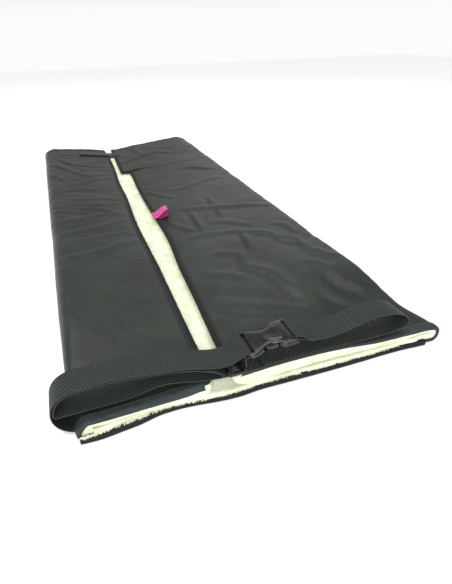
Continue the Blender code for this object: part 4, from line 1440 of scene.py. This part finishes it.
# ---- belt ------------------------------------------------------------------------------------
@dataclass
class Belt:
    """The waist belt's webbing bands.

    Each run lists points along a band's middle, as distances from the left side and from the waist edge and
    a height: above the flaps' top for the bands that lie on them, above the floor for the lower run.
    """

    form: WrapForm
    width: float = 0.040
    thick: float = 1.8 * MM
    loop_x: float = 0.016
    loop_stands: float = 0.0324
    wrap: float = 3.46 * MM
    slider_x: float = 0.210
    slider_y: float = 0.022
    slider_above: float = 0.0119
    top_run: tuple = (
        (0.042, 0.0420, 0.0328), (0.067, 0.0412, 0.0334), (0.097, 0.0400, 0.0299),
        (0.127, 0.0385, 0.0272), (0.147, 0.0360, 0.0259), (0.167, 0.0330, 0.0226), (0.190, 0.0300, 0.0186))
    inner_run: tuple = (
        (0.1965, 0.0232, 0.0094), (0.1910, 0.0245, 0.0124), (0.1830, 0.0270, 0.0162), (0.167, 0.0320, 0.0197),
        (0.147, 0.0355, 0.0231), (0.127, 0.0385, 0.0244), (0.097, 0.0400, 0.0271), (0.067, 0.0412, 0.0305),
        (0.042, 0.0420, 0.0300), (0.016, 0.0425, 0.0286))
    folded_end: tuple = ((0.330, 0.0275, 0.0225), (0.318, 0.0285, 0.0270))
    right_run: tuple = (
        (0.318, 0.0285, 0.0297), (0.328, 0.0280, 0.0252), (0.342, 0.0270, 0.0236), (0.359, 0.0265, 0.0246),
        (0.382, 0.0255, 0.0291), (0.405, 0.0245, 0.0359), (0.427, 0.0245, 0.0384), (0.449, 0.0240, 0.0369),
        (0.467, 0.0240, 0.0316), (0.480, 0.0235, 0.0234), (0.4838, 0.0235, 0.0159), (0.4812, 0.0235, 0.0101),
        (0.473, 0.0240, 0.0062), (0.457, 0.0245, 0.0029), (0.437, 0.0250, 0.0019), (0.407, 0.0255, 0.0019),
        (0.372, 0.0260, 0.0030), (0.352, 0.0265, 0.0043), (0.337, 0.0265, 0.0046), (0.307, 0.0270, 0.0046),
        (0.252, 0.0275, 0.0046))
    lower_run: tuple = (
        (-0.0105, 0.0425, 0.0315), (-0.0045, 0.0425, 0.0315), (0.014, 0.0425, 0.0315),
        (0.037, 0.0420, 0.0317), (0.055, 0.0415, 0.0321), (0.070, 0.0410, 0.0328),
        (0.092, 0.0395, 0.0372), (0.117, 0.0380, 0.0430),
        (0.137, 0.0360, 0.0415), (0.157, 0.0340, 0.0385), (0.177, 0.0310, 0.0368), (0.207, 0.0280, 0.0364),
        (0.270, 0.0270, 0.0364), (0.335, 0.0260, 0.0364))

    def __post_init__(self) -> None:
        """Takes the loop's and the bars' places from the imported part."""
        low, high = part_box("belt_hinge_loop")
        self.loop_top = high.z
        self.rest = high.z - self.loop_stands
        self.loop = Vector((self.form.left + self.loop_x, (low.y + high.y) / 2, high.z / 2))
        self.radius = high.z / 2 - self.thick / 2
        self.female_bar = BUCKLE.bar(-1)
        self.male_bar = BUCKLE.bar(1)

    def at(self, x: float, y: float, z: float) -> Vector:
        """A point from the left side and the waist edge."""
        return Vector((self.form.left + x, self.form.waist + y, z))

    def above(self, rows: Sequence[tuple]) -> list[Vector]:
        """Points given above the flaps' top."""
        return [self.at(x, y, self.rest + up) for x, y, up in rows]

    def arc(self, centre: Vector, radius: float, start: float, end: float, count: int) -> list[Vector]:
        """Points round a circle seen from the waist, in degrees from +x towards +z."""
        turns = np.radians(steps(start, end, count))
        return [centre + Vector((math.cos(t), 0, math.sin(t))) * radius for t in turns]

    def band(self, name: str, path: Sequence[Vector]) -> bpy.types.Object:
        """A band of webbing along a path, rounded at its edges.

        Args:
            name: The piece's name.
            path: Points along its middle.

        Returns:
            The band.
        """
        line = np.array([tuple(p) for p in path])
        tangent = unit(np.gradient(line, axis=0))
        wide = np.tile([0.0, 1.0, 0.0], (len(line), 1))
        wide = unit(wide - tangent * (wide * tangent).sum(1, keepdims=True))
        up = np.cross(tangent, wide)
        half, t = self.width / 2, self.thick / 2
        face = [(-1.0, 0.0), (-0.985, 0.75), (-0.93, 1.0), (-0.5, 1.0), (0.0, 1.0), (0.5, 1.0), (0.93, 1.0),
                (0.985, 0.75)]
        section = face + [(-s, -h) for s, h in face]
        rows = [line + wide * (s * half) + up * (h * t) for s, h in section]
        points = np.stack(rows, axis=1)
        run = np.concatenate([[0], np.cumsum(np.linalg.norm(np.diff(line, axis=0), axis=1))])
        uv = np.array([[s * half + self.width, r] for r in run for s, _ in section])
        count = len(section)
        faces = grid_faces(len(line), count, closed=True)
        faces += [tuple(range(count)), tuple(range((len(line) - 1) * count, len(line) * count))]
        piece = new_piece(name, points.reshape(-1, 3), faces, uv)
        tidy_normals(piece)
        Cloth.WEB.paint(piece)
        return piece

    def build_loop(self) -> bpy.types.Object:
        """The outer turn at the left side, from the anchored end to the top band.

        Returns:
            The band.
        """
        piece = self.band("belt_left_loop_band", self.arc(self.loop, self.radius, 269, 90.6, 40))
        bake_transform(piece)
        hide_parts("belt_hinge_loop")
        return piece

    def build_top(self) -> bpy.types.Object:
        """The top band, from the left loop to the buckle's first bar.

        Returns:
            The band.
        """
        bar = self.female_bar
        path = [self.loop + Vector((-0.2 * MM, 0, self.radius)), *self.above(self.top_run)]
        path += [bar + Vector((-0.0260, 0, self.wrap - 0.0116)),
                 bar + Vector((-0.0115, 0, self.wrap - 0.0054))]
        path = through(path + [bar + Vector((0, 0, self.wrap))]) + self.arc(bar, self.wrap, 80, -90, 12)
        piece = self.band("belt_top_band", path)
        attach(piece, "belt")
        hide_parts("belt_top_strap")
        return piece

    def weave(self) -> list[Vector]:
        """Points where the webbing goes under and over the slider's bars.

        Returns:
            The points, from the buckle's side to the left.
        """
        pitch, clear = 9.5 * MM, 3.0 * MM
        marks = ((1.0, -1.0), (0.75, -0.8), (0.5, 0.0), (0.25, 0.85), (0.0, 1.0), (-0.25, 0.85), (-0.5, 0.0),
                 (-0.75, -0.8), (-1.0, -1.0))
        centre = self.at(self.slider_x, self.slider_y, self.rest + self.slider_above)
        return [centre + Vector((u * pitch, 0, w * clear)) for u, w in marks]

    def build_adjuster(self) -> list[bpy.types.Object]:
        """The band that comes back from the bar through the slider, and its run inside the left loop.

        Returns:
            The band's three stretches.
        """
        bar, weave = self.female_bar, self.weave()
        centre = weave[4]
        entry = [bar + Vector((-0.6 * MM, 0, -self.wrap)), bar + Vector((-0.0048, 0, -self.wrap - 0.0014)),
                 bar + Vector((-0.0070, 0, -self.wrap - 0.0066)), centre + Vector((0.0144, 0.0030, -0.0027)),
                 centre + Vector((0.0132, 0.0020, -0.0057))]
        first = self.band("belt_slider_band", through([*entry, *weave]))
        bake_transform(first)
        inner = self.above(self.inner_run)
        second = self.band("belt_inner_band", through([weave[-2], weave[-1], *inner[:5]])[6:])
        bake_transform(second)
        turn = self.arc(self.loop, self.radius - self.thick - 1.2 * MM, 105, 175, 6)
        lower = [self.at(*row) for row in self.lower_run]
        third = self.band("belt_lower_band", through([*inner[3:], *turn, *lower])[6:])
        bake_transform(third)
        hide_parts("belt_adjust_strap")
        return [first, second, third]

    def build_right(self) -> bpy.types.Object:
        """The band on the buckle's other half, folded back in an open loop.

        Returns:
            The band.
        """
        bar = self.male_bar
        folded = [*self.above(self.folded_end), bar + Vector((0.0080, 0, -self.wrap - 0.0002))]
        run = through([bar + Vector((0.0085, 0, self.wrap - 0.0031)), *self.above(self.right_run)])
        path = through(folded) + self.arc(bar, self.wrap, 270, 90, 12) + run
        piece = self.band("belt_right_band", path)
        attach(piece, "buckle_male")
        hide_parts("belt_short_strap")
        return piece

    def build_seams(self) -> list[bpy.types.Object]:
        """Rows of stitches across the right band where it is sewn to itself.

        Returns:
            The rows of stitches.
        """
        made = []
        places = self.above(self.right_run)
        for number, (index, share) in enumerate(((4, 0.05), (4, 0.35))):
            middle = mix(places[index], places[index + 1], share)
            ahead = (places[index + 1] - places[index - 1]).normalized()
            up = Vector((-ahead.z, 0, ahead.x))
            half = Vector((0, self.width / 2 - 2 * MM, 0))
            line = np.array([tuple(middle - half), tuple(middle), tuple(middle + half)])
            seam = stitch_row(f"belt_seam_{number + 1}", line, np.tile(tuple(up), (3, 1)),
                              self.thick / 2 + 0.1 * MM, pitch=3.0 * MM, length=2.4 * MM)
            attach(seam, "buckle_male")
            made.append(seam)
        return made

    def build_anchor(self) -> bpy.types.Object:
        """The end sewn under the back panel.

        Returns:
            The band.
        """
        low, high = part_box("belt_anchor_strap")
        middle, z = (low.y + high.y) / 2, (low.z + high.z) / 2
        piece = self.band("belt_anchor_band", [Vector((x, middle, z)) for x in steps(high.x, low.x, 20)])
        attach(piece, "back_panel")
        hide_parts("belt_anchor_strap")
        return piece

    def build(self) -> list[bpy.types.Object]:
        """Every band."""
        return [self.build_loop(), self.build_top(), *self.build_adjuster(), self.build_right(),
                *self.build_seams(), self.build_anchor()]


# ---- buckle ----------------------------------------------------------------------------------
@dataclass
class Buckle:
    """The side-release buckle: a socket half, a plug half and their webbing bars."""

    half_length: float = 37.2 * MM
    half_height: float = 5.8 * MM
    bar_at: float = 35.2 * MM
    bar_half: float = 1.6 * MM
    mouth: float = 18 * MM
    pitch_deg: float = -5.5
    around: int = 40

    def frame(self) -> Matrix:
        """The buckle's own place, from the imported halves.

        Returns:
            Its place and tilt.
        """
        boxes = [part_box("female_buckle"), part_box("male_buckle")]
        low = Vector([min(b[0][k] for b in boxes) for k in range(3)])
        high = Vector([max(b[1][k] for b in boxes) for k in range(3)])
        return Matrix.Translation((low + high) / 2) @ Matrix.Rotation(math.radians(self.pitch_deg), 4, "Y")

    def bar(self, side: int) -> Vector:
        """The middle of a webbing bar."""
        return self.frame() @ Vector((side * self.bar_at, 0, 0))

    def lofted(self, name: str, start: float, end: float, width: Profile,
               height: Profile) -> bpy.types.Object:
        """A moulded body whose width and height follow two profiles along it.

        Args:
            name: The piece's name.
            start: Where along the buckle it starts.
            end: Where it ends.
            width: Half its width along the buckle.
            height: Half its height along the buckle.

        Returns:
            The body, in the buckle's own place.
        """
        turns = steps(0, 2 * math.pi, self.around)[:-1]
        rows = []
        for x in steps(start, end, 44):
            c, s = np.cos(turns), np.sin(turns)
            y = float(width(x)) * np.sign(c) * np.abs(c) ** 0.45
            z = float(height(x)) * np.sign(s) * np.abs(s) ** 0.62
            rows.append(np.stack([np.full_like(y, x), y, z], axis=1))
        points = np.array(rows)
        faces = grid_faces(len(rows), self.around, closed=True)
        last = (len(rows) - 1) * self.around
        faces += [tuple(range(self.around)), tuple(range(last, last + self.around))]
        piece = new_piece(name, points.reshape(-1, 3), faces)
        tidy_normals(piece)
        return piece

    def slab(self, low: tuple, high: tuple, rounding: float = 0.0) -> bpy.types.Object:
        """A block between two corners, with rounded upright edges if asked.

        Args:
            low: Its low corner.
            high: Its high corner.
            rounding: Radius of its upright edges.

        Returns:
            The block.
        """
        bm = bmesh.new()
        bmesh.ops.create_cube(bm, size=1.0)
        size = [b - a for a, b in zip(low, high)]
        middle = [(a + b) / 2 for a, b in zip(low, high)]
        bmesh.ops.scale(bm, vec=size, verts=bm.verts)
        bmesh.ops.translate(bm, vec=middle, verts=bm.verts)
        if rounding:
            upright = [e for e in bm.edges if abs(e.verts[0].co.z - e.verts[1].co.z) > size[2] / 2]
            bmesh.ops.bevel(bm, geom=upright, offset=rounding, segments=4, affect="EDGES")
        mesh = bpy.data.meshes.new("block")
        bm.to_mesh(mesh)
        bm.free()
        piece = bpy.data.objects.new("block", mesh)
        bpy.context.scene.collection.objects.link(piece)
        return piece

    def carve(self, body: bpy.types.Object, cutters: Sequence[bpy.types.Object]) -> None:
        """Cuts blocks out of a body and applies the result.

        Args:
            body: The body that is cut.
            cutters: The blocks, which are used up.
        """
        for cutter in cutters:
            step = body.modifiers.new("cut", "BOOLEAN")
            step.operation = "DIFFERENCE"
            step.solver = "EXACT"
            step.object = cutter
        shown = body.evaluated_get(bpy.context.evaluated_depsgraph_get())
        mesh = bpy.data.meshes.new_from_object(shown)
        body.modifiers.clear()
        body.data = mesh
        for cutter in cutters:
            bpy.data.objects.remove(cutter)

    def finish_body(self, body: bpy.types.Object, rides: str, node: Optional[str]) -> bpy.types.Object:
        """Places a body, softens its edges and gives it the plastic.

        Args:
            body: The body.
            rides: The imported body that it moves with.
            node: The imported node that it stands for, if any.

        Returns:
            The same body.
        """
        body.data.transform(self.frame())
        soften = body.modifiers.new("edges", "BEVEL")
        soften.width = 0.35 * MM
        soften.segments = 2
        soften.limit_method = "ANGLE"
        soften.angle_limit = math.radians(40)
        body.data.shade_smooth()
        body.modifiers.new("normals", "WEIGHTED_NORMAL")
        Cloth.PLASTIC.paint(body)
        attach(body, rides)
        if node:
            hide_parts(node)
        return body

    def web_cutters(self, side: int) -> list[bpy.types.Object]:
        """Blocks that leave a thin bar across the end and a slot beside it.

        Args:
            side: Which end: -1 is the socket's and 1 the plug's.

        Returns:
            The blocks.
        """
        face = self.bar_at - self.bar_half
        slot, out, half, tall = face - 5.4 * MM, self.half_length + 3 * MM, 21 * MM, 9 * MM
        spans = (((slot, face), (-tall, tall)), ((slot, out), (self.bar_half, tall)),
                 ((slot, out), (-tall, -self.bar_half)))
        made = []
        for (x0, x1), (z0, z1) in spans:
            low, high = sorted((side * x0, side * x1))
            made.append(self.slab((low, -half, z0), (high, half, z1)))
        return made

    def panel(self, name: str, tip: float, wide_end: float, rides: str) -> bpy.types.Object:
        """The raised thumb panel: a shield that widens from its tip to the mouth, with rolled edges.

        Args:
            name: The piece's name.
            tip: Where its narrow end lies along the buckle.
            wide_end: Where its wide end lies.
            rides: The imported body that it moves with.

        Returns:
            The panel.
        """
        rows = []
        for u in steps(0, 1, 20):
            x = mix(tip, wide_end, u)
            half = 15.0 * MM * math.sqrt(max(u * (1.45 - 0.45 * u), 1e-4))
            v = np.sin(np.radians(steps(-90, 90, 24)))
            dome = (1 - np.abs(v) ** 9) * (1 - abs(2 * u - 1) ** 14)
            hollow = 0.9 * MM * (1 - v * v) * math.sin(math.pi * u)
            rise = self.half_height - 1.2 * MM + 2.7 * MM * dome ** 0.5 - hollow
            rows.append(np.stack([np.full_like(v, x), half * v, rise], axis=1))
        top = np.array(rows)
        low = top.copy()
        low[..., 2] = self.half_height - 1.6 * MM
        piece = layer(name, top, low)
        piece.data.transform(self.frame())
        Cloth.PLASTIC.paint(piece)
        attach(piece, rides)
        return piece

    def build_socket(self) -> list[bpy.types.Object]:
        """The socket half, open at the mouth and at the two grips.

        Returns:
            The socket and its thumb panel.
        """
        end = self.half_length
        width = Profile(((-end, 23.5 * MM), (-end + 3 * MM, 25.6 * MM), (-0.026, 25.2 * MM),
                         (-0.017, 21.5 * MM), (-0.007, 17.2 * MM), (0.002, 17.0 * MM),
                         (0.008, 20.5 * MM), (0.0125, 25.0 * MM),
                         (0.018, 26.0 * MM)))
        height = Profile(((-end, 2.6 * MM), (-0.034, 3.4 * MM), (-0.026, 4.8 * MM),
                          (-0.010, self.half_height), (0.010, self.half_height), (0.018, 5.2 * MM)))
        body = self.lofted("buckle_socket", -end, self.mouth, width, height)
        half, tall = 20.5 * MM, 3 * MM
        socket = self.slab((self.mouth - 0.040, -half, -tall), (self.mouth + 2 * MM, half, tall))
        self.carve(body, [*self.web_cutters(-1), socket])
        made = [self.finish_body(body, "belt", "female_buckle")]
        made.append(self.panel("buckle_thumb_panel", -0.011, 0.0175, "belt"))
        return made

    def build_plug(self) -> list[bpy.types.Object]:
        """The plug half: base, webbing bar and guide tongue.

        Returns:
            The plug and its tongue.
        """
        start, end = self.mouth + 0.4 * MM, self.half_length
        width = Profile(((start, 25.9 * MM), (0.024, 26 * MM), (end - 3 * MM, 25.8 * MM), (end, 23.5 * MM)))
        height = Profile(((start, 5.2 * MM), (0.026, 4.9 * MM), (0.034, 3.4 * MM), (end, 2.6 * MM)))
        body = self.lofted("buckle_plug", start, end, width, height)
        self.carve(body, self.web_cutters(1))
        made = [self.finish_body(body, "buckle_male", "male_buckle")]
        tongue = self.slab((self.mouth - 0.036, -4 * MM, -2.5 * MM), (start + 2 * MM, 4 * MM, 2.5 * MM),
                           rounding=1.5 * MM)
        tongue.name = "buckle_tongue"
        made.append(self.finish_body(tongue, "buckle_male", None))
        return made

    def build_prongs(self) -> list[bpy.types.Object]:
        """The two springy prongs and the belt's slider, kept as packed, with softened edges.

        Returns:
            The three pieces.
        """
        made = []
        for name in ("release_prong_near", "release_prong_far", "belt_slider"):
            piece = bpy.data.objects[name]
            soften = piece.modifiers.new("edges", "BEVEL")
            soften.width = 0.4 * MM
            soften.segments = 2
            soften.limit_method = "ANGLE"
            Cloth.PLASTIC.paint(piece)
            made.append(piece)
        return made

    def build(self) -> list[bpy.types.Object]:
        """Every piece of the buckle."""
        return [*self.build_socket(), *self.build_plug(), *self.build_prongs()]


BUCKLE = Buckle()


# ---- studio ----------------------------------------------------------------------------------
@dataclass
class Studio:
    """The camera, the soft lights and the pale floor."""

    place: tuple[float, float, float] = (-0.19975, -1.0555, 0.422)
    across: tuple[float, float, float] = (0.9339, -0.3571, -0.0172)
    up: tuple[float, float, float] = (0.2033, 0.4908, 0.8472)
    ahead: tuple[float, float, float] = (0.2941, 0.7947, -0.5309)
    lens: float = 33.89
    overhead_power: float = 2.05
    overhead_spread: float = 60        # degrees, wide enough for very soft shadows
    wall_glow: float = 0.97
    ceiling_glow: float = 0.34
    floor_half: float = 5.0
    floor_drop: float = 0.4 * MM       # below the wrap, so that the two don't share a plane

    def build_camera(self) -> None:
        """The camera, low at the waist end, looking up the wrap."""
        data = bpy.data.cameras.new("camera")
        data.sensor_fit = "HORIZONTAL"
        data.sensor_width = 36.0
        data.lens = self.lens
        data.clip_start = 0.01
        camera = bpy.data.objects.new("camera", data)
        axes = Matrix((self.across, self.up, tuple(-v for v in self.ahead))).transposed()
        camera.matrix_world = Matrix.Translation(self.place) @ axes.to_4x4()
        bpy.context.scene.collection.objects.link(camera)
        bpy.context.scene.camera = camera

    def soft_light(self, name: str, place: tuple, aim: tuple, size: float, power: float) -> None:
        """A square soft box aimed at a point.

        Args:
            name: The light's name.
            place: Where it stands.
            aim: The point that it faces.
            size: The length of its sides.
            power: Its power in watts.
        """
        data = bpy.data.lights.new(name, "AREA")
        data.shape = "SQUARE"
        data.size = size
        data.energy = power
        lamp = bpy.data.objects.new(name, data)
        lamp.location = place
        lamp.rotation_euler = (Vector(aim) - Vector(place)).to_track_quat("-Z", "Y").to_euler()
        bpy.context.scene.collection.objects.link(lamp)

    def build_lights(self) -> None:
        """Soft boxes at the far left, far right and near side, under a wide overhead light.

        The room has white walls and a dim ceiling, so that creases shade softly.
        """
        self.soft_light("key", (-0.9, 0.9, 2.3), (0.0, 0.0, 0.0), size=1.4, power=20)
        self.soft_light("rim", (1.4, 2.2, 1.5), (0.15, -0.1, 0.0), size=1.8, power=9)
        self.soft_light("fill", (-0.5, -2.2, 1.1), (0.0, -0.6, 0.0), size=1.3, power=42)
        overhead = bpy.data.lights.new("overhead", "SUN")
        overhead.energy = self.overhead_power
        overhead.angle = math.radians(self.overhead_spread)
        bpy.context.scene.collection.objects.link(bpy.data.objects.new("overhead", overhead))
        world = bpy.data.worlds.new("studio")
        world.use_nodes = True
        bpy.context.scene.world = world
        tree = world.node_tree
        where = add_node(tree, "ShaderNodeTexCoord").outputs["Generated"]
        height = add_node(tree, "ShaderNodeSeparateXYZ", {"Vector": where}).outputs["Z"]
        walls = add_node(tree, "ShaderNodeMapRange", {"Value": height, "From Min": 0.02, "From Max": 0.30,
                                                      "To Min": self.wall_glow,
                                                      "To Max": self.ceiling_glow})
        tree.links.new(walls.outputs["Result"], tree.nodes["Background"].inputs["Strength"])
        tree.nodes["Background"].inputs["Color"].default_value = (1.0, 1.0, 1.0, 1.0)
        bpy.context.scene.view_settings.view_transform = "Standard"

    def build_floor(self) -> None:
        """A wide sheet of pale paper just under the wrap."""
        half, low = self.floor_half, -self.floor_drop
        corners = [(-half, -half, low), (half, -half, low), (half, half, low), (-half, half, low)]
        floor = new_piece("studio_floor", corners, [(0, 1, 2, 3)], smooth=False)
        Cloth.PAPER.paint(floor)


def main() -> None:
    """Builds the studio and then every sub-assembly of the wrap."""
    logging.basicConfig(level=logging.INFO)
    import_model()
    studio = Studio()
    studio.build_camera()
    studio.build_lights()
    studio.build_floor()
    form = WrapForm()
    left = SideShell(form, Side.LEFT)
    right = SideShell(form, Side.RIGHT)
    foot_end = FootEnd(form, left, right)
    groups = (BackPanel(form), left, right, foot_end, SideTag(form, right), Belt(form), BUCKLE)
    for group in groups:
        for piece in group.build():
            LOG.info("%s: %d faces", piece.name, len(piece.data.polygons))


if __name__ == "__main__":
    main()
